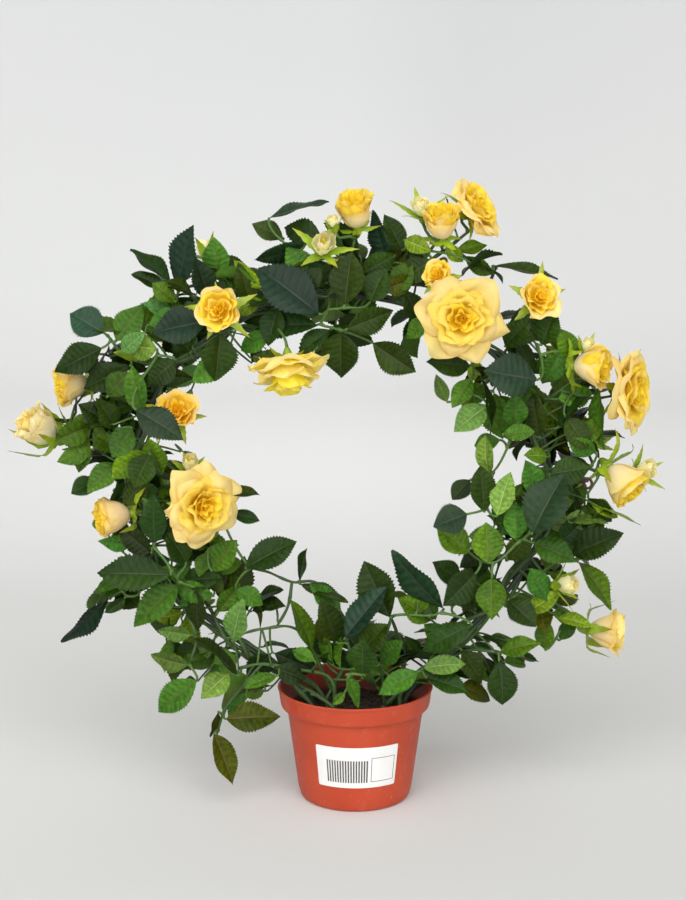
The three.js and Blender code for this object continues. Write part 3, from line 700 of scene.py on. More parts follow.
TINTS = {
    # foot and rim of a petal, times the colour of its cloth
    "deep": (np.array([1.0, 0.83, 0.11]), np.array([1.0, 1.00, 2.2])),
    "gold": (np.array([1.0, 0.88, 0.13]), np.array([1.0, 1.00, 2.0])),
    "pale": (np.array([1.0, 0.90, 0.26]), np.array([1.0, 0.98, 1.0])),
    "cream": (np.array([0.93, 1.05, 0.98]), np.array([0.98, 0.99, 0.80])),
    "shell": (np.array([0.98, 1.01, 1.45]), np.array([1.0, 0.98, 0.74])),
}
LAYERS = {
    # cloth, tint, count, r0, z0, L, half width, opening at the foot and the rim, power, rolled edge, rolled tip, point, crinkle
    "open": (0.030, [
        ("deep", "deep", 3, 0.0006, 0.0044, 0.0092, 0.0046, 0.25, -0.25, 1.2, 0.0000, 0.0003, 0.00, 0.0006),
        ("deep", "deep", 3, 0.0018, 0.0036, 0.0112, 0.0076, 0.42, -0.05, 1.2, 0.0002, 0.0009, 0.02, 0.0010),
        ("deep", "deep", 4, 0.0034, 0.0028, 0.0130, 0.0092, 0.58, 0.12, 1.1, 0.0004, 0.0014, 0.02, 0.0012),
        ("gold", "gold", 4, 0.0048, 0.0018, 0.0154, 0.0124, 0.76, 0.30, 1.0, 0.0006, 0.0020, 0.04, 0.0014),
        ("gold", "gold", 5, 0.0058, 0.0008, 0.0186, 0.0142, 0.94, 0.62, 1.0, 0.0012, 0.0030, 0.06, 0.0016),
        ("pale", "pale", 5, 0.0056, -0.0004, 0.0228, 0.0176, 1.08, 0.98, 1.0, 0.0028, 0.0044, 0.14, 0.0019),
        ("pale", "pale", 5, 0.0060, -0.0014, 0.0290, 0.0240, 1.16, 1.40, 1.0, 0.0040, 0.0026, 0.25, 0.0020),
    ]),
    "bell": (0.0265, [
        ("deep", "deep", 3, 0.0010, 0.0034, 0.0130, 0.0056, 0.34, -0.08, 1.2, 0.0002, 0.0004, 0.00, 0.0009),
        ("deep", "deep", 4, 0.0026, 0.0026, 0.0150, 0.0086, 0.54, 0.10, 1.1, 0.0004, 0.0012, 0.02, 0.0013),
        ("gold", "gold", 4, 0.0042, 0.0016, 0.0174, 0.0122, 0.76, 0.26, 1.0, 0.0008, 0.0022, 0.04, 0.0016),
        ("gold", "pale", 4, 0.0052, 0.0008, 0.0202, 0.0160, 0.96, 0.42, 1.0, 0.0012, 0.0032, 0.05, 0.0018),
        ("pale", "pale", 4, 0.0056, -0.0002, 0.0240, 0.0198, 1.10, 0.56, 1.0, 0.0020, 0.0040, 0.08, 0.0018),
        ("pale", "pale", 4, 0.0060, -0.0012, 0.0272, 0.0240, 1.22, 0.70, 1.0, 0.0026, 0.0036, 0.14, 0.0018),
    ]),
    "skirt": (0.0290, [
        ("gold", "gold", 4, 0.0022, 0.0010, 0.0232, 0.0074, 0.35, 0.10, 1.1, 0.0003, 0.0010, 0.02, 0.0012),
        ("gold", "pale", 4, 0.0038, 0.0006, 0.0262, 0.0134, 0.62, 0.26, 1.0, 0.0008, 0.0024, 0.04, 0.0014),
        ("pale", "pale", 4, 0.0048, 0.0000, 0.0262, 0.0184, 0.92, 0.56, 1.0, 0.0014, 0.0034, 0.05, 0.0016),
        ("pale", "pale", 4, 0.0054, -0.0008, 0.0254, 0.0226, 1.16, 1.06, 1.0, 0.0022, 0.0030, 0.06, 0.0016),
        ("pale", "pale", 4, 0.0060, -0.0018, 0.0252, 0.0240, 1.30, 1.36, 1.0, 0.0030, 0.0024, 0.10, 0.0014),
    ]),
    "half": (0.0150, [
        ("deep", "deep", 3, 0.0006, 0.0058, 0.0122, 0.0044, 0.22, -0.10, 1.2, 0.0000, 0.0003, 0.00, 0.0006),
        ("deep", "deep", 3, 0.0020, 0.0048, 0.0138, 0.0078, 0.42, 0.00, 1.1, 0.0003, 0.0009, 0.01, 0.0010),
        ("gold", "gold", 3, 0.0036, 0.0034, 0.0156, 0.0116, 0.66, 0.08, 0.9, 0.0004, 0.0015, 0.02, 0.0013),
        ("gold", "pale", 4, 0.0044, 0.0016, 0.0180, 0.0132, 0.96, 0.14, 0.75, 0.0006, 0.0020, 0.03, 0.0014),
        ("pale", "pale", 4, 0.0046, 0.0000, 0.0204, 0.0168, 1.28, 0.18, 0.60, 0.0010, 0.0026, 0.03, 0.0013),
    ]),
    "cup": (0.0150, [
        ("deep", "deep", 4, 0.0008, 0.0060, 0.0240, 0.0046, 0.16, -0.05, 1.2, 0.0000, 0.0003, 0.00, 0.0010),
        ("deep", "deep", 4, 0.0022, 0.0050, 0.0254, 0.0078, 0.36, 0.00, 1.1, 0.0002, 0.0007, 0.01, 0.0014),
        ("gold", "gold", 5, 0.0034, 0.0036, 0.0272, 0.0090, 0.66, 0.02, 0.85, 0.0003, 0.0009, 0.02, 0.0015),
        ("gold", "pale", 5, 0.0042, 0.0020, 0.0290, 0.0118, 0.98, 0.00, 0.55, 0.0005, 0.0012, 0.02, 0.0013),
        ("pale", "shell", 4, 0.0038, 0.0004, 0.0306, 0.0176, 1.40, -0.06, 0.40, 0.0004, 0.0016, 0.02, 0.0007),
        ("pale", "shell", 3, 0.0040, -0.0004, 0.0304, 0.0200, 1.44, 0.00, 0.38, 0.0006, 0.0028, 0.02, 0.0006),
    ]),
    "ruffle": (0.0150, [
        ("deep", "deep", 3, 0.0010, 0.0060, 0.0262, 0.0056, 0.16, 0.00, 1.2, 0.0000, 0.0006, 0.02, 0.0012),
        ("deep", "deep", 4, 0.0026, 0.0050, 0.0276, 0.0090, 0.36, 0.08, 1.1, 0.0003, 0.0012, 0.03, 0.0018),
        ("gold", "gold", 4, 0.0038, 0.0036, 0.0290, 0.0112, 0.66, 0.08, 0.85, 0.0006, 0.0018, 0.04, 0.0021),
        ("gold", "pale", 4, 0.0038, 0.0020, 0.0288, 0.0138, 0.92, 0.02, 0.55, 0.0006, 0.0016, 0.04, 0.0013),
        ("pale", "shell", 4, 0.0046, 0.0004, 0.0276, 0.0182, 1.40, -0.06, 0.40, 0.0004, 0.0016, 0.04, 0.0008),
        ("pale", "shell", 3, 0.0052, -0.0006, 0.0252, 0.0210, 1.44, 0.00, 0.38, 0.0006, 0.0020, 0.04, 0.0007),
    ]),
    "tulip": (0.0150, [
        ("deep", "deep", 4, 0.0014, 0.0070, 0.0226, 0.0056, 0.20, 0.06, 1.2, 0.0000, 0.0006, 0.02, 0.0012),
        ("gold", "gold", 4, 0.0030, 0.0040, 0.0254, 0.0096, 0.55, 0.02, 0.9, 0.0004, 0.0014, 0.03, 0.0014),
        ("gold", "pale", 4, 0.0036, 0.0016, 0.0288, 0.0128, 0.95, 0.00, 0.55, 0.0006, 0.0022, 0.04, 0.0012),
        ("pale", "shell", 4, 0.0036, 0.0000, 0.0326, 0.0178, 1.36, -0.06, 0.38, 0.0004, 0.0036, 0.05, 0.0006),
        ("pale", "shell", 4, 0.0038, -0.0008, 0.0312, 0.0182, 1.42, -0.04, 0.36, 0.0006, 0.0044, 0.06, 0.0005),
    ]),
    "bud": (0.0085, [
        ("deep", "deep", 3, 0.0006, 0.0010, 0.0140, 0.0036, 0.10, -0.25, 1.2, 0.0000, 0.0002, 0.00, 0.0002),
        ("cream", "cream", 4, 0.0016, 0.0004, 0.0158, 0.0062, 0.60, -0.40, 1.0, 0.0001, 0.0004, 0.03, 0.0003),
        ("cream", "cream", 4, 0.0022, 0.0000, 0.0150, 0.0068, 0.85, -0.30, 0.9, 0.0003, 0.0014, 0.05, 0.0004),
    ]),
}
DEPTH = {"open": (0.014, 0.030), "bell": (0.020, 0.0265), "skirt": (0.020, 0.029), "half": (0.019, 0.015), "cup": (0.031, 0.015), "ruffle": (0.031, 0.015), "tulip": (0.034, 0.015), "bud": (0.013, 0.0085)}
SPREAD = {"open": 2.25, "bell": 2.0, "skirt": 1.9, "half": 1.8, "cup": 1.5, "ruffle": 1.5, "tulip": 1.7, "bud": 0.8}
SEPAL_SIZE = {"open": (1.25, 0.030), "bell": (1.2, 0.030), "skirt": (1.2, 0.030), "half": (1.25, 0.0155), "cup": (1.35, 0.0155), "ruffle": (1.35, 0.0155), "tulip": (1.35, 0.0155), "bud": (0.95, 0.0085)}


def rose(centre, facing, radius, kind="open", roll=0.0, seed=1, warm=0.0, tone=1.0, sep=1.0, spread=None, tips=None, cream=False):
    """A cloth rose. centre is the middle of the bloom, facing the way it looks, radius half its width. tips are the
    angles of the outermost petals, with their lengths. tone makes the outer petals of this bloom lighter or darker,
    less so further in, for the light that the bloom gets: painted light and shade.
    """
    rng = np.random.default_rng(4000 + seed)
    R = axes_for(facing, roll)
    height = DEPTH[kind][0] * radius / DEPTH[kind][1]
    base = np.asarray(centre, float) - R[:, 2] * height * 0.55
    size0, layers = LAYERS[kind]
    k = radius / size0
    edge_out = np.array([1.0, 0.97, 0.92])
    ph = rng.uniform(0, 6.28)
    # the closed heart that the petals are bound round
    m = 12
    heart_r = np.array([0.05, 2.6, 4.6, 5.6, 5.4, 4.0, 0.05]) * 0.001 * k
    heart_z = np.array([6.4, 6.0, 4.6, 2.8, 1.0, -0.4, -0.8]) * 0.001 * k
    if kind == "bud":
        heart_r, heart_z = heart_r * 0.45, heart_z * 0.6
    ring = np.stack([heart_r[:, None] * np.cos(np.arange(m) * 2 * math.pi / m), heart_r[:, None] * np.sin(np.arange(m) * 2 * math.pi / m), np.broadcast_to(heart_z[:, None], (7, m))], -1).reshape(-1, 3)
    hi, hj = np.meshgrid(np.arange(6), np.arange(m), indexing="ij")
    hp, hq = (hi * m + hj).ravel(), (hi * m + (hj + 1) % m).ravel()
    petals["deep"].add(base + ring @ R.T, np.stack([hp, hp + m, hq + m, hq], 1), None, 0, TINTS["deep"][0])
    for li, (bag, tint, count, r0, z0, L, Wd, t0, t1, pw, re, rt, pt, cr) in enumerate(layers):
        angles = [(ph + li * 0.6 + c * 2 * math.pi / count + rng.uniform(-0.16, 0.16), 1.0) for c in range(count)]
        if tips is not None and li == len(layers) - 1:
            angles = [(math.radians(a) - roll, f) for a, f in tips]
        for phi, reach in angles:
            j = lambda s: 1 + s * rng.uniform(-1, 1)
            cb, crm = TINTS[tint]
            cb = cb * np.array([1.0, 1 - 0.10 * warm, 1 - 0.1 * warm])
            crm = crm * np.array([1.0, 1 - 0.05 * warm, 1 - 0.12 * warm])
            # painted light and shade: the bloom's tone lightens or darkens the outer petals for the light it gets, and
            # the inner ones less
            t = (1 + (tone - 1) * li / (len(layers) - 1)) * rng.uniform(0.97, 1.02)
            cloth = {"pale": "cream", "gold": "cream", "deep": "pale"}[bag] if cream else bag
            if cream:
                cb, crm = np.array([0.98, 1.02, 1.10]), np.array([1.0, 0.98, 0.80])
            narrow = min(1.0, 5.5 / max(len(angles), 1)) if tips is not None and li == len(layers) - 1 else 1.0
            add_petal(petals[cloth], base, R, phi, r0 * k, z0 * k, L * k * reach * (1 if tips is not None and reach != 1 else j(0.06)), Wd * k * narrow * j(0.08), t0 + 0.06 * rng.standard_normal() * (li + 1) / 6, t1 + 0.10 * rng.standard_normal() * (li + 1) / 6, pw,
                      re * k * j(0.5), rt * k * j(0.5), max(0, pt * j(0.35)), cr * k * j(0.3), 0.0006 * k, rng, cb * t, crm * t, edge_out * t, *((18, 14) if R[1, 2] < 0.6 else (14, 11)))
    size = SEPAL_SIZE[kind][0] * (radius / SEPAL_SIZE[kind][1]) ** 0.5
    add_sepals(base - R[:, 2] * 0.0006 * k, R, size, spread or SPREAD[kind], rng, long=sep, cup=0.0128 * k if kind in ("cup", "ruffle", "tulip") else 0.0, hug=0.95 if cream else 0.5)
    foot = base - R[:, 2] * 0.0078 * size
    stalk(foot, R[:, 2], 0.0013, 0.0011, 1, 0.9, 0.4)
    return base


# =================================================================== the plant
# 1. the wire and the stems wound round it
rng_w = np.random.default_rng(11)
n = len(HOOP)
tube(wire, HOOP, 0.0020 * (1 + 0.03 * np.sin(np.arange(n) * 0.9) + 0.02 * rng_w.standard_normal(n)), 12, 0, (1, 1, 1))

SOIL_Z = 0.070
rng_s = np.random.default_rng(12)
STEMS = [
    # from, to, stand-off, turn length, phase, radii, foot
    (0.060, 0.560, 0.0043, 0.118, 0.6, 0.0018, 0.0011, (0.036, -0.008)),
    (0.075, 0.430, 0.0052, 0.092, 2.6, 0.0016, 0.0011, (0.024, 0.012)),
    (0.090, 0.300, 0.0062, -0.130, 4.4, 0.0015, 0.0010, (0.015, -0.014)),
    (0.940, 0.500, 0.0043, 0.110, 2.2, 0.0018, 0.0011, (-0.032, -0.008)),
    (0.930, 0.560, 0.0054, 0.090, 0.4, 0.0016, 0.0011, (-0.018, -0.017)),
    (0.925, 0.640, 0.0064, -0.125, 5.2, 0.0015, 0.0010, (-0.022, 0.013)),
    (0.910, 0.740, 0.0078, 0.105, 3.6, 0.0014, 0.0010, (-0.006, -0.022)),
]
for t0, t1, off, pitch, ph, r0, r1, foot in STEMS:
    wound_stem(t0, t1, off, pitch, ph, r0, r1, rng_s, tail=np.array([foot[0], foot[1], SOIL_Z - 0.012]))

# 2. side stems that the outer sprays hang on
TWIGS = [
    ([(352, 700), (330, 678), (296, 669), (262, 664), (240, 668)], (-14, -18, -20, -20, -18), 0.0015, 0.0011),
    ([(262, 664), (236, 694), (224, 712), (217, 734)], (-20, -22, -22, -20), 0.0013, 0.0009),
    ([(345, 690), (352, 650), (345, 620), (318, 584), (292, 582), (268, 572), (250, 568)], (4, 0, -4, -10, -14, -20, -28), 0.0014, 0.0009),
    ([(292, 582), (288, 606), (276, 628)], (-14, -16, -18), 0.0011, 0.0009),
    ([(340, 695), (300, 632), (262, 629), (225, 640)], (-6, -16, -22, -24), 0.0013, 0.0009),
    ([(375, 695), (382, 660), (391, 617)], (-10, -24, -34), 0.0013, 0.0009),
    ([(392, 690), (405, 655), (396, 630), (391, 617)], (2, -6, -12, -16), 0.0012, 0.0009),
    ([(385, 700), (410, 676), (424, 668)], (-16, -32, -36), 0.0012, 0.0009),
    ([(370, 700), (357, 668), (347, 640)], (-20, -34, -38), 0.0012, 0.0009),
    ([(365, 700), (372, 676), (372, 655)], (-24, -40, -46), 0.0012, 0.0009),
    ([(160, 352), (128, 358), (108, 336)], (-4, -12, -14), 0.0012, 0.0008),
    ([(136, 436), (95, 440), (58, 432)], (-6, -10, -8), 0.0012, 0.0009),
    ([(140, 395), (112, 392), (88, 386)], (-4, -8, -8), 0.0011, 0.0009),
    ([(152, 552), (128, 585), (110, 598)], (-6, -10, -10), 0.0012, 0.0008),
    ([(215, 325), (196, 300), (180, 288)], (-2, -2, 0), 0.0012, 0.0009),
    ([(296, 300), (300, 268), (322, 256)], (-4, -12, -16), 0.0011, 0.0009),
    ([(345, 295), (350, 262), (355, 238)], (-4, -14, -18), 0.0012, 0.0010),
    ([(398, 300), (418, 268), (432, 248), (438, 240)], (-4, -14, -20, -22), 0.0012, 0.0010),
    ([(418, 268), (445, 250), (468, 232)], (-14, -10, -8), 0.0012, 0.0010),
    ([(470, 325), (486, 290), (496, 268)], (-2, -4, -4), 0.0012, 0.0009),
    ([(505, 350), (520, 330), (532, 312)], (-4, -10, -12), 0.0011, 0.0009),
    ([(538, 410), (560, 390), (580, 376)], (-4, -12, -14), 0.0012, 0.0009),
    ([(560, 390), (592, 398), (612, 396)], (-12, -10, -8), 0.0012, 0.0010),
    ([(546, 470), (580, 466), (606, 476)], (-4, -10, -12), 0.0012, 0.0010),
    ([(520, 568), (556, 604), (586, 628)], (-2, -8, -10), 0.0012, 0.0009),
    ([(530, 556), (548, 580), (556, 592)], (-4, -16, -20), 0.0011, 0.0009),
    ([(434, 668), (470, 650), (500, 654)], (-2, -10, -12), 0.0012, 0.0009),
    ([(166, 566), (186, 612), (196, 640), (190, 662)], (-8, -16, -20, -22), 0.0012, 0.0009),
    ([(548, 478), (568, 474), (580, 480)], (-8, -20, -26), 0.0011, 0.0009),
]
for pts, dep, r0, r1 in TWIGS:
    twig(pts, dep, r0, r1)

# a thin dry tendril that curls on the right
curl = [W(587 + 5.5 * math.sin(a) * (1 - a / 14), 484 - 5.5 * math.cos(a) * (1 - a / 14), -0.03 - 0.001 * a) for a in np.linspace(-1.2, 6.6, 30)]
tendril = Bag()
near = nearest_carrier(curl[0])[0]
tube(tendril, smooth_line([near] + curl, 0.002), 0.0011, 6, 0)

# 3. roses and buds: place in the view, depth, facing, half width, kind
ROSES = [
    # px, py, depth mm, facing, radius px, kind, roll, warm, tone (the outer petals painted lighter or darker for the
    # light the bloom gets: painted light and shade), sepals
    (462, 318, -62, (0.05, -1.0, 0.05), 42, "open", 0.0, 0.45, 0.88, 1.0),
    (204, 507, -60, (0.50, -0.86, -0.06), 40, "open", 0.0, 0.35, 0.95, 1.0),
    (289, 375, -40, (0.08, -0.24, -0.97), 39, "skirt", 0.2, -1.5, 1.12, 1.0),
    (637, 391, -14, (0.86, -0.50, -0.03), 39, "bell", 0.9, 0.0, 1.0, 1.0),
    (480, 206, -10, (0.70, -0.45, 0.50), 30, "bell", 0.5, 0.1, 1.0, 1.0),
    (355, 208, -22, (-0.10, -0.44, 0.89), 16, "ruffle", 0.3, 0.1, 1.0, 0.75),
    (442, 220, -26, (-0.04, -0.46, 0.88), 15.5, "ruffle", 1.1, 0.1, 1.0, 0.75),
    (219, 310, -46, (-0.05, -0.97, 0.18), 18.5, "half", 0.1, 0.1, 1.0, 1.0),
    (177, 411, -36, (0.16, -0.78, 0.55), 17.5, "half", 2.0, 1.4, 0.97, 1.0),
    (540, 297, -33, (0.16, -0.94, 0.22), 17.5, "half", 0.7, 0.2, 1.0, 1.0),
    (594, 366, -30, (0.86, -0.50, 0.04), 17, "cup", 0.4, 0.0, 1.0, 1.0),
    (624, 484, -20, (0.58, -0.50, -0.64), 19, "cup", 1.5, 0.0, 1.0, 1.1),
    (612, 631, -14, (0.97, -0.22, 0.00), 17, "tulip", 0.2, 0.2, 1.0, 1.15),
    (37, 426, -6, (-0.66, -0.42, 0.62), 17.5, "ruffle", 0.9, -0.2, 1.02, 1.45),
    (66, 385, 0, (-0.86, -0.42, -0.06), 16.5, "tulip", 1.7, 0.2, 1.0, 0.8),
    (110, 517, -22, (-0.90, -0.38, -0.10), 17, "cup", 2.4, 0.8, 0.98, 1.0),
    (437, 275, -44, (-0.40, -0.85, 0.34), 13.5, "half", 0.8, 0.2, 1.0, 0.7),
    # the far side, which has its own flowers
    (188, 326, 62, (-0.15, 1.0, 0.15), 30, "open", 0.5, 0.2, 1.0, 1.0),
    (548, 500, 62, (0.20, 1.0, 0.0), 34, "open", 0.9, 0.2, 1.0, 1.0),
    (346, 283, 60, (0.05, 0.95, 0.30), 31, "open", 0.1, 0.3, 1.0, 1.0),
    (135, 470, 54, (-0.25, 0.95, 0.05), 17, "cup", 0.6, 0.4, 1.0, 1.0),
    (272, 300, 52, (-0.1, 0.8, 0.5), 17, "half", 0.2, 0.6, 1.0, 1.0),
    (553, 420, 54, (0.4, 0.85, 0.2), 17, "cup", 0.9, 0.4, 1.0, 1.0),
    (480, 590, 48, (0.2, 0.95, -0.1), 17, "half", 1.9, 0.3, 1.0, 1.0),
]
# the outermost petals of the two large roses in front: angle and reach
TIPS = {
    0: [(171, 1.02), (122, 0.90), (50, 1.06), (-22, 1.06), (-66, 1.0), (-136, 1.02)],
    1: [(133, 1.12), (82, 1.02), (26, 1.0), (-33, 1.02), (-88, 1.0), (-130, 0.92), (182, 0.80)],
}
BUDS = [
    # px, py, depth, facing, radius px, length and spread of the sepals
    (324, 245, -26, (0.05, -0.80, 0.50), 13, 1.15, 1.25),
    (421, 208, -14, (-0.15, -0.45, 0.85), 10, 1.35, 1.15),
    (566, 585, -30, (0.75, -0.50, 0.15), 12, 1.15, 0.95),
    (645, 470, -12, (0.60, -0.50, 0.30), 11, 1.20, 1.10),
    (190, 464, -44, (0.10, -0.60, 0.75), 10, 0.85, 1.00),
    (333, 222, -32, (-0.2, -0.45, 0.85), 7, 0.7, 0.60),
    (588, 346, -22, (0.25, -0.45, 0.85), 8, 0.95, 0.90),
    (205, 250, 40, (-0.3, 0.6, 0.7), 9, 1.0, 0.9),
    (600, 440, 40, (0.6, 0.75, 0.2), 9, 1.0, 0.9),
]
for i, (px, py, d, face, rpx, kind, roll, warm, tone, sep) in enumerate(ROSES):
    p = W(px, py, d / 1000)
    scale = (d / 1000 - CAM[1]) / FOCAL_PX / math.cos(PITCH)
    rose(p, np.array(face), rpx * scale, kind, roll, i, warm, tone, sep, tips=TIPS.get(i), cream=(i == 13))
    if d > 40:
        # leaves close under the blooms of the far side
        back = -np.array(face) / np.linalg.norm(face)
        Rb = axes_for(back, 0.3 * i)
        grow = 1.06 if kind == "open" else 1.4
        for q in range(8):
            a = q * math.pi / 4 + 0.2 * i
            o = Rb[:, 0] * math.cos(a) + Rb[:, 1] * math.sin(a)
            b0 = p + back * 0.016 + o * 0.004
            t0 = b0 + o * rpx * scale * grow * (1.05 if q % 2 else 0.9) + back * 0.004 * (q % 2)
            add_leaf(LEAVES["dark" if q % 3 else "mid"], b0, t0, back + 0.3 * o, 0.86, 0.12, 0.3, 0.015, 24, leaf_tone(RNG), RNG, 0.1)
for i, (px, py, d, face, rpx, sep, spr) in enumerate(BUDS):
    p = W(px, py, d / 1000)
    scale = (d / 1000 - CAM[1]) / FOCAL_PX / math.cos(PITCH)
    rose(p, np.array(face), rpx * scale, "bud", 0.3 * i, 100 + i, 0.0, 1.0, sep, spr)

# 4. leaflets that show from the front: base and tip in the view, width, colour, depth
KEY = [
    (104, 333, 70, 313, 33, "B", -16), (116, 341, 144, 304, 28, "M", -14), (102, 348, 55, 372, 30, "D", -20),
    (157, 349, 127, 345, 26, "L", -26), (178, 290, 193, 225, 27, "B", -6), (172, 285, 130, 250, 16, "D", 4),
    (165, 290, 131, 274, 14, "D", 0), (175, 302, 152, 283, 20, "M", -12), (220, 281, 214, 237, 26, "M", -4),
    (210, 300, 194, 257, 24, "B", -14), (262, 289, 234, 260, 15, "Y", -22), (319, 314, 258, 268, 44, "B", -38),
    (206, 321, 152, 333, 36, "B", -34), (220, 333, 215, 381, 34, "D", -32), (317, 325, 255, 330, 27, "D", -26),
    (272, 333, 241, 351, 20, "M", -20), (341, 332, 341, 378, 38, "D", -24), (373, 343, 416, 372, 30, "D", -26),
    (347, 329, 393, 310, 26, "D", -36), (269, 218, 329, 202, 8, "B", -4), (283, 238, 252, 224, 20, "D", 2),
    (305, 245, 254, 260, 20, "B", -10), (311, 281, 286, 247, 26, "M", -16), (345, 305, 352, 252, 34, "D", -30),
    (386, 261, 373, 210, 20, "B", -8), (494, 266, 558, 279, 10, "D", -14), (493, 274, 464, 256, 16, "M", -16),
    (542, 345, 556, 308, 26, "D", -20), (537, 380, 483, 371, 41, "B", -44), (470, 366, 426, 362, 26, "D", -30),
    (472, 378, 452, 408, 20, "M", -18), (447, 402, 436, 374, 14, "L", -22), (480, 375, 491, 434, 8, "D", -26),
    (488, 405, 454, 432, 26, "L", -28), (514, 428, 514, 393, 24, "M", -22), (540, 437, 533, 393, 22, "D", -18),
    (600, 383, 604, 450, 14, "M", -20), (489, 474, 486, 434, 18, "L", -22), (503, 434, 535, 432, 17, "M", -30),
    (484, 512, 480, 465, 26, "D", -30), (467, 514, 433, 527, 31, "B", -36), (497, 516, 511, 472, 24, "L", -38),
    (538, 497, 525, 460, 22, "M", -36), (532, 534, 565, 474, 42, "B", -50), (516, 540, 516, 501, 24, "M", -34),
    (550, 474, 590, 468, 28, "D", -26), (558, 545, 587, 517, 26, "D", -20), (572, 555, 624, 533, 30, "D", -30),
    (534, 543, 577, 562, 26, "M", -36), (578, 562, 611, 610, 20, "M", -22), (488, 563, 486, 522, 32, "M", -40),
    (470, 553, 437, 528, 28, "M", -24), (444, 609, 392, 550, 26, "B", -40), (475, 574, 443, 606, 30, "D", -34),
    (492, 578, 492, 620, 30, "M", -44), (390, 617, 364, 561, 37, "D", -40), (345, 638, 388, 586, 26, "B", -48),
    (431, 620, 398, 598, 28, "M", -26), (472, 625, 422, 650, 28, "D", -36), (500, 652, 541, 643, 20, "M", -20),
    (499, 661, 503, 705, 31, "D", -22), (545, 650, 546, 618, 20, "M", -16), (558, 618, 593, 628, 14, "Y", -18),
    (423, 668, 466, 664, 20, "L", -42), (427, 678, 470, 693, 20, "D", -36), (418, 672, 378, 695, 22, "M", -56),
    (363, 674, 363, 640, 30, "D", -58), (136, 410, 183, 440, 30, "B", -64), (144, 450, 112, 478, 26, "M", -32),
    (116, 463, 87, 493, 24, "M", -22), (97, 480, 71, 494, 20, "D", -12), (92, 450, 57, 462, 20, "M", -16),
    (155, 543, 153, 493, 26, "D", -34), (151, 553, 119, 526, 24, "D", -26), (131, 545, 98, 541, 16, "M", -18),
    (224, 491, 260, 495, 12, "D", -36), (230, 513, 260, 521, 14, "D", -30), (171, 575, 97, 573, 36, "D", -40),
    (121, 576, 96, 591, 14, "M", -14), (109, 598, 61, 642, 18, "B", -14), (125, 598, 104, 613, 12, "D", -18),
    (178, 585, 134, 627, 30, "M", -30), (196, 590, 198, 631, 20, "D", -26), (206, 553, 199, 577, 16, "M", -22),
    (212, 571, 237, 540, 26, "M", -30), (246, 568, 297, 541, 30, "D", -34), (300, 580, 307, 548, 10, "D", -14),
    (236, 590, 263, 605, 20, "M", -24), (233, 641, 243, 598, 24, "L", -38), (191, 635, 157, 630, 16, "L", -24),
    (237, 675, 191, 637, 12, "D", -34), (189, 665, 151, 654, 18, "L", -30), (229, 673, 201, 699, 25, "L", -34),
    (197, 680, 158, 712, 30, "M", -34), (277, 676, 243, 689, 14, "M", -30), (226, 719, 280, 717, 30, "O", -32),
    (214, 734, 233, 785, 24, "O", -28), (218, 712, 210, 737, 8, "O", -22), (315, 661, 292, 650, 14, "M", -34),
    (346, 675, 358, 708, 12, "M", -60), (345, 692, 332, 705, 9, "M", -62),
    (300, 584, 348, 603, 13, "D", -16), (290, 600, 313, 654, 18, "M", -24), (318, 588, 340, 622, 16, "L", -18),
    # behind and between them
    (150, 372, 194, 378, 20, "D", -20), (130, 366, 84, 389, 28, "D", -16), (140, 378, 116, 406, 24, "D", -22),
    (176, 360, 148, 386, 26, "D", -24), (108, 396, 130, 372, 24, "M", -28), (110, 424, 78, 404, 24, "D", -12),
    (116, 428, 96, 398, 22, "D", -18), (132, 428, 112, 458, 26, "M", -26), (150, 455, 134, 488, 28, "D", -38),
    (162, 474, 148, 438, 24, "M", -24), (124, 504, 150, 478, 24, "D", -20), (162, 520, 192, 548, 24, "D", -24),
    (186, 562, 166, 532, 26, "D", -28), (180, 606, 207, 584, 20, "M", -22), (218, 612, 240, 583, 20, "M", -20),
    (140, 592, 152, 560, 22, "D", -16), (250, 302, 238, 262, 24, "D", -16), (278, 306, 268, 346, 24, "D", -18),
    (330, 288, 308, 258, 24, "D", -12), (360, 274, 396, 254, 24, "D", -20), (394, 294, 412, 260, 24, "M", -22),
    (404, 240, 432, 252, 18, "Y", -18), (370, 302, 386, 268, 28, "D", -26), (402, 250, 384, 214, 22, "D", -10),
    (455, 252, 487, 245, 14, "M", -14), (505, 346, 532, 318, 24, "D", -24), (508, 332, 538, 338, 22, "D", -16),
    (560, 352, 542, 384, 24, "M", -22), (576, 362, 558, 328, 22, "M", -14), (602, 418, 580, 447, 20, "M", -16),
    (566, 418, 588, 450, 24, "D", -20), (588, 498, 612, 522, 22, "D", -14), (602, 542, 584, 503, 22, "D", -12),
    (546, 600, 530, 568, 24, "M", -28), (528, 612, 562, 592, 20, "Y", -24), (508, 600, 536, 627, 26, "D", -34),
    (454, 602, 472, 568, 26, "D", -24), (446, 642, 424, 624, 20, "M", -20), (462, 650, 482, 684, 22, "D", -22),
    (380, 664, 402, 640, 22, "M", -40), (332, 604, 310, 584, 20, "M", -22), (336, 642, 320, 600, 26, "D", -30),
    (360, 652, 388, 624, 28, "D", -44), (330, 330, 300, 352, 22, "D", -14), (300, 292, 322, 268, 22, "D", -26),
    (232, 312, 262, 300, 20, "Y", -14), (190, 352, 172, 330, 22, "D", -18), (122, 352, 146, 332, 18, "L", -24),
    (98, 372, 76, 352, 22, "D", -8), (520, 400, 548, 412, 22, "M", -14), (500, 440, 474, 446, 18, "M", -14),
    (508, 560, 530, 534, 24, "D", -22), (460, 580, 432, 562, 24, "D", -16), (420, 590, 436, 620, 22, "D", -22),
    (560, 640, 576, 612, 16, "M", -10), (470, 480, 452, 500, 20, "D", -14), (596, 452, 568, 440, 20, "M", -18),
    (141, 413, 132, 364, 22, "M", -50), (432, 260, 397, 284, 24, "D", -24), (413, 278, 382, 291, 20, "O", -20),
    (403, 290, 424, 326, 22, "D", -20), (430, 316, 407, 339, 18, "M", -22), (446, 243, 463, 262, 14, "Y", -14), (424, 250, 410, 270, 16, "D", -10),
]
rng_k = np.random.default_rng(77)
MAIN_STEMS = list(CARRIERS)
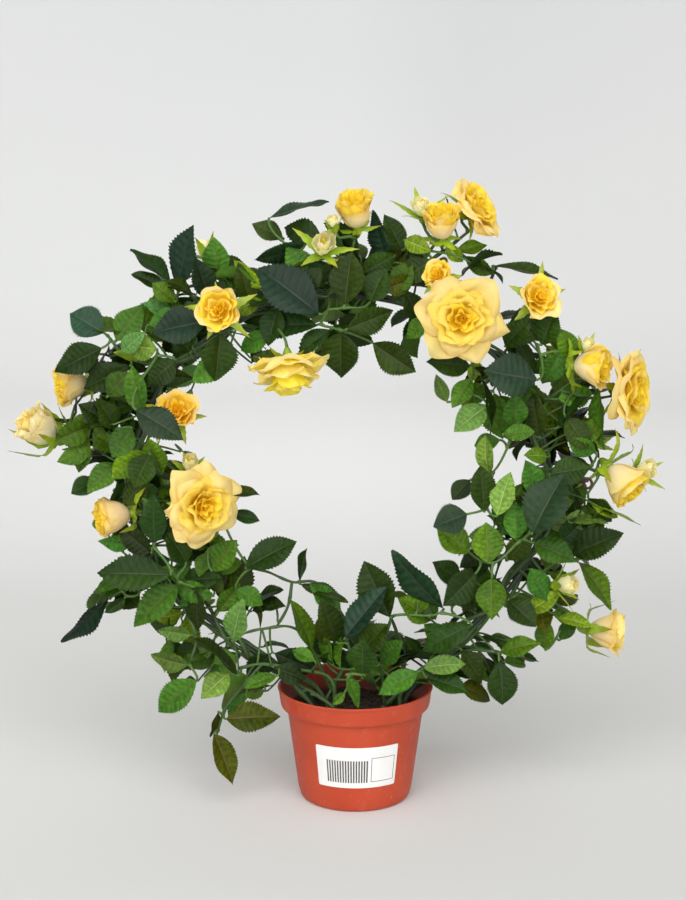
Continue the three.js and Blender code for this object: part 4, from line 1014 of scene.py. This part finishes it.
for bx, by, tx, ty, wpx, letter, depth in KEY:
    y0 = depth / 1000.0
    B = W(bx, by, y0)
    chord2d = np.linalg.norm(W(tx, ty, y0) - B)
    edge_on = wpx <= 12
    pitch = rng_k.uniform(-0.40, 0.30)
    y1 = y0 + chord2d * math.tan(pitch)
    y1 = min(max(y1, -0.080), 0.03)
    T = W(tx, ty, y1)
    x = unit(T - B)
    to_cam = unit(CAM - (B + T) / 2)
    radial = unit((B + T) / 2 - HOOP_C) * np.array([1, 0, 1])
    n0 = unit(to_cam - x * np.dot(to_cam, x))
    side = np.cross(n0, x)
    wanted = wpx * 1.119 / FOCAL_PX
    L = np.linalg.norm(T - B)
    ratio = min(max(wanted / L * 1.04, 0.50), 0.86)
    roll = math.acos(min(0.98, max(0.12, wanted / (ratio * L))))
    up_side = np.dot(side, unit(np.array([0, -0.2, 1.0]) + 0.4 * radial))
    sign = 1.0 if up_side > 0 else -1.0
    if rng_k.uniform() < 0.25:
        sign = -sign
    up = math.cos(roll) * n0 + sign * math.sin(roll) * side
    key = LETTER[letter]
    tone = leaf_tone(rng_k, key)
    add_leaf(LEAVES[key], B, T, up, ratio, rng_k.uniform(0.14, 0.48), rng_k.uniform(0.10, 0.60), rng_k.uniform(0.012, 0.032), 36, tone, rng_k, HUES[key] * rng_k.uniform(-0.4, 1.0))
    stalk(B, x, 0.00115, 0.00085, 1, rng_k.uniform(0.8, 1.15), join=True)

# 5. the rest of the crown, by a branching rule from the stems
solids = []
for name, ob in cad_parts.items():
    if name.startswith(("leaves", "spray", "flower")):
        co = [v.co for v in ob.data.vertices]
        solids.append((BVHTree.FromPolygons(co, [p.vertices for p in ob.data.polygons]), *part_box(name)))


def inside(p, slack):
    """Whether p is within slack of a foliage mass."""
    v = Vector(p)
    for tree, lo, hi in solids:
        if any(v[k] < lo[k] - slack or v[k] > hi[k] + slack for k in range(3)):
            continue
        near = tree.find_nearest(v)
        if near[0] is None:
            continue
        if near[3] < slack or (v - near[0]).dot(near[1]) < 0:
            return True
    return False


# places in the view where the background shows through the crown: x, y, half width, half height
SKY = [
    (332, 470, 118, 92), (150, 352, 12, 8), (118, 318, 10, 14), (182, 396, 10, 6), (232, 356, 12, 12), (300, 344, 14, 8),
    (385, 345, 10, 8), (420, 400, 34, 24), (470, 440, 12, 12), (575, 320, 14, 10), (604, 330, 16, 12), (545, 360, 8, 10),
    (620, 560, 18, 18), (580, 580, 10, 8), (430, 580, 8, 8), (270, 625, 16, 12), (300, 600, 10, 12), (340, 575, 20, 14),
    (130, 640, 26, 20), (70, 560, 30, 24), (160, 740, 30, 20), (262, 740, 10, 14), (560, 690, 30, 24), (95, 430, 6, 6),
    (420, 575, 10, 14), (250, 445, 30, 40), (520, 470, 8, 8), (360, 395, 60, 20), (500, 300, 10, 8), (70, 520, 16, 14),
    (452, 714, 28, 16), (500, 716, 30, 13), (655, 446, 22, 12), (545, 700, 24, 30), (90, 660, 30, 18), (205, 716, 10, 10), (66, 626, 15, 12), (92, 640, 16, 10), (646, 420, 14, 22),
    (312, 186, 26, 12), (337, 191, 8, 10), (657, 388, 9, 36), (56, 642, 14, 14), (113, 622, 12, 10), (290, 632, 16, 16), (157, 664, 8, 26), (346, 196, 19, 19), (618, 432, 10, 7), (98, 499, 9, 9), (85, 528, 13, 9),
]
# places in front of which the bare stems show
BARE = [(549, 440, 9, 44), (262, 622, 26, 14), (262, 652, 34, 10), (64, 394, 20, 22), (342, 352, 16, 14), (300, 650, 20, 10), (400, 646, 10, 16), (170, 555, 6, 20)]
BARE += [(r[0], r[1], r[4] * 1.15, r[4] * 1.15) for r in ROSES + BUDS if r[2] < 0]
# the room each bloom takes
BLOOM_ROOM = [(W(r[0], r[1], r[2] / 1000), 1.05 * r[4] * (r[2] / 1000 - CAM[1]) / FOCAL_PX / math.cos(PITCH)) for r in ROSES + BUDS]


def in_sky(p):
    x, y = project(p)
    for cx, cy, a, b in SKY + (BARE if p[1] < -0.004 else []):
        if ((x - cx) / a) ** 2 + ((y - cy) / b) ** 2 < 1:
            return True
    return False


def ok_leaf(B, T, front_limit):
    for f in (0.35, 0.7, 1.0):
        p = B + (T - B) * f
        if p[1] < front_limit or in_sky(p) or not inside(p, 0.007):
            return False
        if any(np.linalg.norm(p - c) < r for c, r in BLOOM_ROOM):
            return False
        if math.hypot(p[0], p[1]) < 0.064 and p[2] < 0.088:
            return False
    return True


rng_f = np.random.default_rng(5150)
count = {"fill": 0}


def compound_leaf(root, out, tan, size, front_limit, rng, key=None, pairs=None):
    """A leaf of 3 or 5 leaflets on one stalk that leaves root along out."""
    pairs = pairs or (1 if rng.uniform() < 0.45 else 2)
    length = size * rng.uniform(0.9, 1.4)
    droop = np.array([0, 0, -1.0])
    d0 = unit(out + 0.35 * tan * rng.uniform(-1, 1) + 0.15 * rng.standard_normal(3))
    d1 = unit(d0 + 0.3 * droop * rng.uniform(0, 1) + 0.3 * rng.standard_normal(3))
    end = root + length * (0.55 * d0 + 0.45 * d1)
    rachis = bezier(root, root + d0 * length * 0.4, end - d1 * length * 0.3, end, 9)
    facing = unit(np.array([0, -0.2, 0.75]) + 0.9 * np.array([d0[0], d0[1] * 1.1, d0[2]]) + 0.25 * rng.standard_normal(3))
    side = unit(np.cross(facing, d1))
    up = unit(np.cross(d1, side))
    leaflets = [(end, d1, 1.0, 8)]
    for k in range(pairs):
        f = 0.86 - 0.36 * k
        p = rachis[int(f * 8)]
        for s in (-1, 1):
            dd = unit(0.62 * d1 + s * 0.85 * side + 0.12 * rng.standard_normal(3))
            leaflets.append((p, dd, 0.92 - 0.12 * k, int(f * 8)))
    made = reach = 0
    key = key or rng.choice(["dark", "mid", "light", "olive", "young"], p=[0.46, 0.30, 0.07, 0.11, 0.06])
    tone = leaf_tone(rng, key)
    for p, dd, s, at in leaflets:
        L = size * s * rng.uniform(0.88, 1.12)
        B = p + dd * 0.002
        T = B + dd * L
        if not ok_leaf(B, T, front_limit):
            continue
        u = unit(up + 0.35 * rng.standard_normal(3))
        if abs(np.dot(u, dd)) > 0.9:
            continue
        add_leaf(LEAVES[key], B, T, u, rng.uniform(0.54, 0.68), rng.uniform(0.1, 0.45), rng.uniform(0.1, 0.9), rng.uniform(0.008, 0.028), 24, tone * rng.uniform(0.92, 1.08), rng, HUES[key] * rng.uniform(-0.4, 1.0))
        made += 1
        reach = max(reach, at)
        tube(wood, np.array([p, B]), [0.0008, 0.0007], 5, 1, [0.9] * 3)
    if made:
        tube(wood, rachis[: reach + 1], np.linspace(0.0010, 0.0007, reach + 1), 5, 1, [rng.uniform(0.8, 1.15)] * 3)
    count["fill"] += made
    return made


CARRIER_STEMS = MAIN_STEMS
lengths = np.array([np.linalg.norm(np.diff(c, axis=0), axis=1).sum() for c in CARRIER_STEMS])
share = lengths / lengths.sum()
for attempt in range(520):
    rng_f = np.random.default_rng([5150, attempt])
    c = CARRIER_STEMS[rng_f.choice(len(CARRIER_STEMS), p=share)]
    i = rng_f.integers(2, len(c) - 2)
    root = c[i]
    if root[2] < 0.085:
        continue
    tan = unit(c[i + 2] - c[i - 2])
    a = rng_f.uniform(0, 2 * math.pi)
    nrm = unit(np.cross(tan, [0, 1.0, 0]))
    out = math.cos(a) * nrm + math.sin(a) * np.array([0, 1.0, 0])
    front = -0.026 if out[1] < 0 else -0.02
    size = rng_f.uniform(0.026, 0.040)
    compound_leaf(root + out * 0.001, out, tan, size, front, rng_f)
    if count["fill"] > 520:
        break

# outer sprays that the rule sends out to the rims of the masses, on the far side
for name in sorted(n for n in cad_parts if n.startswith(("spray", "leaves_basal", "leaves_low"))):
    lo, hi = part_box(name)
    mid = np.array((lo + hi) / 2)
    for k in range(5):
        rng_f = np.random.default_rng([6021, k, *name.encode()])
        root = mid + (np.array(hi - lo) / 2) * rng_f.uniform(-0.5, 0.5, 3)
        root[1] = abs(root[1] - mid[1]) + mid[1] + 0.006
        if math.hypot(root[0], root[1]) < 0.07 and root[2] < 0.09:
            continue
        at, tan, dist = nearest_carrier(root)
        out = unit(root - at)
        made = compound_leaf(root, out, tan, rng_f.uniform(0.026, 0.036), -0.012, rng_f)
        if made:
            stalk(root, out, 0.0010, 0.0009, 1, 0.95)

print("leaflets by rule", count["fill"], "triangles", {k: b.triangles() for k, b in LEAVES.items()}, "petals", {k: b.triangles() for k, b in petals.items()}, "wood", wood.triangles(), "sepals", sepals.triangles())

# ------------------------------------------------------------- make the pieces
foliage_nodes = sorted(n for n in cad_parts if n.startswith(("leaves", "spray", "flower")))
stem_nodes = sorted(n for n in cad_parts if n.startswith(("cane", "stem")))
hoop_nodes = sorted(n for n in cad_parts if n.startswith("hoop"))

first = None
for key, bag in LEAVES.items():
    if not bag.chunks:
        continue
    for ob in bag.build(f"leaves_{key}", LEAF_MAT[key]):
        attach(ob, "root")
        first = first or ob
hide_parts(*[n for n in foliage_nodes if not n.startswith("flower")])

for key, mat in (("pale", PETAL_PALE), ("gold", PETAL_GOLD), ("deep", PETAL_DEEP), ("cream", PETAL_CREAM)):
    for ob in petals[key].build(f"petals_{key}", [mat]):
        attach(ob, "root")
        if key == "pale":
            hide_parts(*[n for n in foliage_nodes if n.startswith("flower")])
for ob in sepals.build("sepals", [SEPAL_GREEN]):
    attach(ob, "root")
for ob in wood.build("stems_and_stalks", [STEM_GREEN, STALK_GREEN]):
    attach(ob, "root")
    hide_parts(*stem_nodes)
for ob in wire.build("hoop_wire_mesh", [WIRE_GREEN]):
    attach(ob, "root")
    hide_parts(*hoop_nodes)
for ob in tendril.build("dry_tendril", [TENDRIL_BROWN]):
    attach(ob, "root")

# ------------------------------------------------------------------------ pot
POT_RIM_R, POT_H, RIM_H, RIM_FOOT, SHOULDER, BASE_R, WALL = 0.060, 0.087, 0.015, 0.0575, 0.053, 0.0432, 0.002


def outer_r(z):
    return BASE_R + (SHOULDER - BASE_R) * z / (POT_H - RIM_H)


def lathe(name, profile, n, material, wobble=0.0):
    bag = Bag()
    a = np.arange(n) * 2 * math.pi / n
    prof = np.asarray([row[:2] for row in profile], float)
    r = prof[:, 0][:, None] * (1 + wobble * np.sin(2 * a + 0.6)[None, :] * (prof[:, 1] / POT_H)[:, None])
    verts = np.stack([r * np.cos(a), r * np.sin(a), np.broadcast_to(prof[:, 1][:, None], r.shape)], -1).reshape(-1, 3)
    rows = len(prof)
    i, j = np.meshgrid(np.arange(rows - 1), np.arange(n), indexing="ij")
    p, q = (i * n + j).ravel(), (i * n + (j + 1) % n).ravel()
    quads = np.stack([p, q, q + n, p + n], 1)
    k = len(verts)
    verts = np.vstack([verts, [[0, 0, prof[0, 1]], [0, 0, prof[-1, 1]]]])
    tris = [[k, (j + 1) % n, j] for j in range(n)]
    o = (rows - 1) * n
    tris += [[k + 1, o + j, o + (j + 1) % n] for j in range(n)]
    # the third number of a profile point, where given, darkens the colour of its ring: painted shade
    painted_shade = np.array([row[2] if len(row) > 2 else 1.0 for row in profile])
    col = np.concatenate([np.repeat(painted_shade, n), [painted_shade[0], painted_shade[-1]]])[:, None] * np.ones(3)
    bag.add(verts, quads, tris, 0, col)
    return bag.build(name, [material])[0]


def arc(cx, cz, r, a0, a1, n):
    return [(cx + r * math.cos(a), cz + r * math.sin(a)) for a in np.linspace(a0, a1, n)]


pot_m, nt, bsdf = new_material("pot_plastic_orange")
big = noise(nt, 28.0, 3.0, 0.5)
tone = ramp(nt, big.outputs["Fac"], [(0.3, srgb(171, 60, 33)), (0.55, srgb(179, 66, 37)), (0.75, srgb(186, 74, 44))])
tc = node(nt, "ShaderNodeTexCoord")
stretch = node(nt, "ShaderNodeMapping")
stretch.inputs["Scale"].default_value = (1.0, 1.0, 0.22)
nt.links.new(tc.outputs["Object"], stretch.inputs["Vector"])
scr = node(nt, "ShaderNodeTexNoise")
scr.inputs["Scale"].default_value = 420.0
scr.inputs["Detail"].default_value = 4.0
nt.links.new(stretch.outputs["Vector"], scr.inputs["Vector"])
scuff = ramp(nt, scr.outputs["Fac"], [(0.66, np.zeros(3)), (0.76, np.ones(3) * 0.35)])
bsdf.inputs["Specular IOR Level"].default_value = 0.35
dust = noise(nt, 90.0, 4.0, 0.6)
dmask = ramp(nt, dust.outputs["Fac"], [(0.58, np.zeros(3)), (0.78, np.ones(3) * 0.18)])
c = mix(nt, tone.outputs["Color"], srgb(226, 150, 118), scuff.outputs["Color"])
c = mix(nt, c, srgb(216, 140, 108), dmask.outputs["Color"])
# the vertex colour of the lathe darkens the inside of the pot, more the deeper down: painted shade
painted_inner_shade = node(nt, "ShaderNodeVertexColor", layer_name="tint")
c = mix(nt, c, painted_inner_shade.outputs["Color"], 1.0, "MULTIPLY")
nt.links.new(c, bsdf.inputs["Base Color"])
rr = ramp(nt, dust.outputs["Fac"], [(0.3, np.ones(3) * 0.42), (0.75, np.ones(3) * 0.62)])
nt.links.new(rr.outputs["Color"], bsdf.inputs["Roughness"])
bump(nt, bsdf, scr.outputs["Fac"], 0.25, 0.00012)

prof = [(0.0008, 0.0), (BASE_R - 0.006, 0.0)]
prof += arc(BASE_R - 0.0038, 0.0036, 0.0036, -math.pi / 2, -0.14, 7)
for z in np.linspace(0.008, POT_H - RIM_H - 0.003, 12):
    prof.append((outer_r(z), z))
zt = POT_H - RIM_H
prof += [(outer_r(zt - 0.0012), zt - 0.0012), (SHOULDER + 0.0006, zt - 0.0004), (RIM_FOOT - 0.0012, zt), (RIM_FOOT - 0.0003, zt + 0.0004), (RIM_FOOT, zt + 0.0011)]
for f in (0.2, 0.4, 0.6, 0.8, 0.93):
    prof.append((RIM_FOOT + (POT_RIM_R - 0.0006 - RIM_FOOT) * f, zt + (RIM_H - 0.0012) * f))
prof += arc(POT_RIM_R - 0.0010, POT_H - 0.0010, 0.0010, 0.0, math.pi * 0.9, 8)
# the inner wall, its colour painted darker the deeper it goes down (painted shade)
prof += [(POT_RIM_R - 0.0021, POT_H - 0.0030, 0.85), (RIM_FOOT - WALL, zt + 0.002, 0.45), (SHOULDER - WALL + 0.0008, zt - 0.001, 0.32), (SHOULDER - WALL, zt - 0.003, 0.25)]
for z in (0.060, 0.045, 0.030, 0.015, 0.006):
    prof.append((outer_r(z) - WALL, z, 0.2))
prof += [(outer_r(0.002) - WALL - 0.003, WALL, 0.2), (0.0008, WALL, 0.2)]
pot = lathe("pot_body", prof, 160, pot_m, 0.0)
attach(pot, "root")
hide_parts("pot")

# soil: an uneven top with crumbs of peat and bark
soil_m = tinted("soil_peat", srgb(44, 33, 24), 0.55, 1.5, (0.8, 0.95), 500.0, 0.5, 1500.0, 0.3, spots=srgb(96, 72, 50))
soil = Bag()
rng_e = np.random.default_rng(90)
nr, na = 26, 72
R_SOIL = outer_r(SOIL_Z) - WALL - 0.0006
rr_, aa_ = np.meshgrid(np.linspace(0.0, 1.0, nr), np.arange(na) * 2 * math.pi / na, indexing="ij")
x_, y_ = R_SOIL * rr_ * np.cos(aa_), R_SOIL * rr_ * np.sin(aa_)


def soil_height(x, y):
    h = 0.0016 * np.sin(70 * x + 1.0) * np.cos(60 * y + 0.4) + 0.0012 * np.sin(150 * x - 110 * y) + 0.0007 * np.sin(330 * x + 290 * y) + 0.0005 * np.sin(610 * y - 450 * x)
    return SOIL_Z + h - 0.0016


z_ = soil_height(x_, y_) + 0.0003 * rng_e.standard_normal(x_.shape) * (rr_ > 0)
verts = np.stack([x_, y_, z_], -1).reshape(-1, 3)
i, j = np.meshgrid(np.arange(nr - 1), np.arange(na), indexing="ij")
p, q = (i * na + j).ravel(), (i * na + (j + 1) % na).ravel()
skip = i.ravel() > 0
verts[:na] = verts[0]
soil.add(verts[na - 1:], np.stack([p, p + na, q + na, q], 1)[skip] - (na - 1), [[0, 1 + k, 1 + (k + 1) % na] for k in range(na)])
# skirt down to the bottom of the fill
rim = verts[-na:]
low = rim.copy()
low[:, :2] *= (outer_r(0.004) - WALL - 0.003) / R_SOIL
low[:, 2] = WALL + 0.0004
ring = np.vstack([rim, low, [[0, 0, WALL + 0.0004]]])
k = np.arange(na)
soil.add(ring, np.stack([k, k + na, (k + 1) % na + na, (k + 1) % na], 1), [[2 * na, (t + 1) % na + na, t + na] for t in range(na)])
for _ in range(620):
    rad_, ang = R_SOIL * math.sqrt(rng_e.uniform(0, 0.97)), rng_e.uniform(0, 2 * math.pi)
    s = rng_e.uniform(0.0008, 0.0026)
    cx, cy = rad_ * math.cos(ang), rad_ * math.sin(ang)
    if math.hypot(cx, cy) + s > R_SOIL:
        continue
    cz = float(soil_height(cx, cy)) + s * 0.35
    pts = rng_e.standard_normal((6, 3)) * 0.15 + np.array([[1, 0, 0], [-1, 0, 0], [0, 1, 0], [0, -1, 0], [0, 0, 0.8], [0, 0, -0.8]])
    pts = pts * s * np.array([1, rng_e.uniform(0.6, 1), rng_e.uniform(0.5, 0.9)])
    t = rng_e.uniform(0, 6.28)
    rot = np.array([[math.cos(t), -math.sin(t), 0], [math.sin(t), math.cos(t), 0], [0, 0, 1]])
    pts = pts @ rot.T + np.array([cx, cy, cz])
    tr = [[0, 2, 4], [2, 1, 4], [1, 3, 4], [3, 0, 4], [2, 0, 5], [1, 2, 5], [3, 1, 5], [0, 3, 5]]
    soil.add(pts, None, tr, 0, [rng_e.uniform(0.6, 1.5)] * 3)
soil_ob = soil.build("soil_top", [soil_m], smooth=False)[0]
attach(soil_ob, "root")
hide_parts("fill")

# label: thin glossy paper with rounded corners, a field of plain bars and an empty ruled box
paper_m, nt, bsdf = new_material("label_paper")
pn = noise(nt, 60.0, 3.0)
pc = ramp(nt, pn.outputs["Fac"], [(0.3, srgb(222, 221, 219)), (0.7, srgb(231, 230, 228))])
nt.links.new(pc.outputs["Color"], bsdf.inputs["Base Color"])
pr = ramp(nt, pn.outputs["Fac"], [(0.3, np.ones(3) * 0.38), (0.7, np.ones(3) * 0.5)])
nt.links.new(pr.outputs["Color"], bsdf.inputs["Roughness"])
fine = noise(nt, 1200.0, 2.0)
bump(nt, bsdf, fine.outputs["Fac"], 0.2, 0.00005)
ink_m, nt, bsdf = new_material("label_ink")
inkn = noise(nt, 900.0, 3.0)
ic = ramp(nt, inkn.outputs["Fac"], [(0.35, srgb(58, 56, 58)), (0.7, srgb(104, 101, 103))])
nt.links.new(ic.outputs["Color"], bsdf.inputs["Base Color"])
bsdf.inputs["Roughness"].default_value = 0.55

LABEL_W, LABEL_H, LABEL_Z, LABEL_TURN = 0.063, 0.033, 0.0375, math.radians(1.5)


def on_label(x, h, lift):
    """A point of the label: x across and h up from its middle, lift off the wall."""
    z = LABEL_Z + h
    r = outer_r(z) + 0.00032 + lift
    a = x / outer_r(LABEL_Z) + LABEL_TURN
    return np.stack([r * np.sin(a), -r * np.cos(a), z], -1)


def patch(bag, x0, x1, h0, h1, lift, mat=0, corner=0.0, thick=0.0):
    nx, nz = max(2, int((x1 - x0) / 0.0012)), max(2, int((h1 - h0) / 0.0014))
    X, H = np.meshgrid(np.linspace(x0, x1, nx + 1), np.linspace(h0, h1, nz + 1), indexing="ij")
    if corner:
        cx, cz, hx, hz = (x0 + x1) / 2, (h0 + h1) / 2, (x1 - x0) / 2, (h1 - h0) / 2
        ux, uz = (X - cx), (H - cz)
        ex = np.maximum(np.abs(ux) - (hx - corner), 0)
        ez = np.maximum(np.abs(uz) - (hz - corner), 0)
        d = np.hypot(ex, ez)
        f = np.where(d > corner, corner / np.maximum(d, 1e-9), 1.0)
        X = cx + np.sign(ux) * (np.minimum(np.abs(ux), hx - corner) + ex * f)
        H = cz + np.sign(uz) * (np.minimum(np.abs(uz), hz - corner) + ez * f)
    P = on_label(X, H, lift).reshape(-1, 3)
    q = grid_quads(nx + 1, nz + 1)
    bag.add(P, q[:, ::-1], None, mat)
    if thick:
        Q = on_label(X, H, lift - thick).reshape(-1, 3)
        bag.add(Q, q, None, mat)
        rows, cols = nx + 1, nz + 1
        idx = [a * cols for a in range(rows)] + [(rows - 1) * cols + b for b in range(1, cols)] + [a * cols + cols - 1 for a in range(rows - 2, -1, -1)] + [b for b in range(cols - 2, 0, -1)]
        loop = np.array(idx)
        V = np.vstack([P[loop], Q[loop]])
        m = len(loop)
        k = np.arange(m)
        bag.add(V, np.stack([k, (k + 1) % m, (k + 1) % m + m, k + m], 1), None, mat)


lab = Bag()
patch(lab, -LABEL_W / 2, LABEL_W / 2, -LABEL_H / 2, LABEL_H / 2, 0.00028, 0, 0.0010, 0.00022)
bar_x = -0.0232
while bar_x < 0.0075:
    patch(lab, bar_x, bar_x + 0.00115, -0.0122, 0.0058, 0.00033, 1)
    bar_x += 0.0020
bx0, bx1, bz0, bz1, tline = 0.0105, 0.0292, -0.0118, 0.0078, 0.00045
patch(lab, bx0, bx1, bz1 - tline, bz1, 0.00033, 1)
patch(lab, bx0, bx1, bz0, bz0 + tline, 0.00033, 1)
patch(lab, bx0, bx0 + tline, bz0 + tline, bz1 - tline, 0.00033, 1)
patch(lab, bx1 - tline, bx1, bz0 + tline, bz1 - tline, 0.00033, 1)
label = lab.build("label_sticker", [paper_m, ink_m])[0]
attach(label, "root")
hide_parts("label")

# ----------------------------------------------------------------- the studio
# a round, pale studio: the floor runs up into a wall on all sides, its grey painted lighter and darker from place to
# place (painted light and shade)
cyc = Bag()
sect = [(r, 0.0) for r in (0.02, 0.3, 0.8, 1.5, 2.2, 2.6)]
for a in np.linspace(0, math.pi / 2, 18)[1:]:
    sect.append((2.6 + 1.4 * math.sin(a), 1.4 * (1 - math.cos(a))))
sect += [(4.0, 2.2), (4.0, 3.6)]
sect = np.array(sect)
ang = np.linspace(0, 2 * math.pi, 97)[:-1]
ring = np.stack([sect[:, 0][:, None] * np.cos(ang), sect[:, 0][:, None] * np.sin(ang), np.broadcast_to(sect[:, 1][:, None], (len(sect), 96))], -1).reshape(-1, 3)
i, j = np.meshgrid(np.arange(len(sect) - 1), np.arange(96), indexing="ij")
p, q = (i * 96 + j).ravel(), (i * 96 + (j + 1) % 96).ravel()
cyc.add(np.vstack([ring, [[0, 0, 0]]]), np.stack([p, p + 96, q + 96, q], 1), [[len(ring), t, (t + 1) % 96] for t in range(96)])
cyc_m, nt, bsdf = new_material("studio_paper")
tc = node(nt, "ShaderNodeTexCoord")
sep = node(nt, "ShaderNodeSeparateXYZ")
nt.links.new(tc.outputs["Object"], sep.inputs["Vector"])
depth = node(nt, "ShaderNodeMapRange")
depth.inputs["From Min"].default_value = -0.4
depth.inputs["From Max"].default_value = 4.0
nt.links.new(sep.outputs["Y"], depth.inputs["Value"])
# painted light and shade: from front to back the grey is darker at the front edge, lighter just behind the pot where
# the plant's shadow falls, darker in a band beyond it, lighter again up the curve of the wall and darker towards its
# top
painted_light_by_depth = ramp(nt, depth.outputs["Result"], [(0.053, srgb(205, 205, 203)), (0.087, srgb(212, 212, 210)), (0.115, srgb(216, 216, 214)), (0.141, srgb(217, 217, 215)), (0.175, srgb(213, 213, 211)), (0.224, srgb(208, 208, 206)), (0.33, srgb(210, 210, 209)), (0.54, srgb(215, 215, 214)), (0.70, srgb(219, 219, 218)), (0.82, srgb(220, 221, 220)), (0.909, srgb(217, 218, 217)), (0.964, srgb(212, 213, 213)), (0.991, srgb(209, 210, 211))])
across = node(nt, "ShaderNodeMapRange")
across.inputs["From Min"].default_value = -2.0
across.inputs["From Max"].default_value = 2.0
nt.links.new(sep.outputs["X"], across.inputs["Value"])
# painted shade: right of the middle the grey is painted darker, by about 5 to 6 percent
painted_shade_to_right = ramp(nt, across.outputs["Result"], [(0.30, np.ones(3)), (0.50, np.ones(3)), (0.60, np.ones(3) * 0.94), (0.78, np.ones(3) * 0.955), (1.0, np.ones(3) * 0.955)])
nt.links.new(mix(nt, painted_light_by_depth.outputs["Color"], painted_shade_to_right.outputs["Color"], 1.0, "MULTIPLY"), bsdf.inputs["Base Color"])
bsdf.inputs["Roughness"].default_value = 0.85
bsdf.inputs["Specular IOR Level"].default_value = 0.2
floor = cyc.build("studio_floor", [cyc_m])[0]


def area(name, loc, target, size, power, colour=(1, 1, 1), size_y=None):
    d = bpy.data.lights.new(name, "AREA")
    d.energy = power
    d.color = colour
    d.size = size
    if size_y:
        d.shape = "RECTANGLE"
        d.size_y = size_y
    o = bpy.data.objects.new(name, d)
    o.location = loc
    o.rotation_euler = (Vector(target) - Vector(loc)).to_track_quat("-Z", "Y").to_euler()
    bpy.context.scene.collection.objects.link(o)
    return o


area("high_front", (-0.15, -1.75, 1.42), (0, 0, 0.22), 2.4, 50)
area("key_left", (-1.35, -1.55, 1.0), (0, 0, 0.25), 1.7, 10.5)
area("fill_right", (1.45, -1.60, 0.8), (0, 0, 0.25), 1.7, 11.5)
area("back_wash", (0.0, 0.9, 2.2), (0, 4.0, 1.2), 2.0, 47)
area("front_wash", (0.0, -0.9, 2.2), (0, -4.0, 1.2), 2.0, 42)
world = bpy.data.worlds.new("studio_world")
world.use_nodes = True
world.node_tree.nodes["Background"].inputs["Color"].default_value = (1.0, 1.0, 1.0, 1.0)
world.node_tree.nodes["Background"].inputs["Strength"].default_value = 0.59
bpy.context.scene.world = world
bpy.context.scene.view_settings.view_transform = "Standard"
bpy.context.scene.view_settings.look = "None"
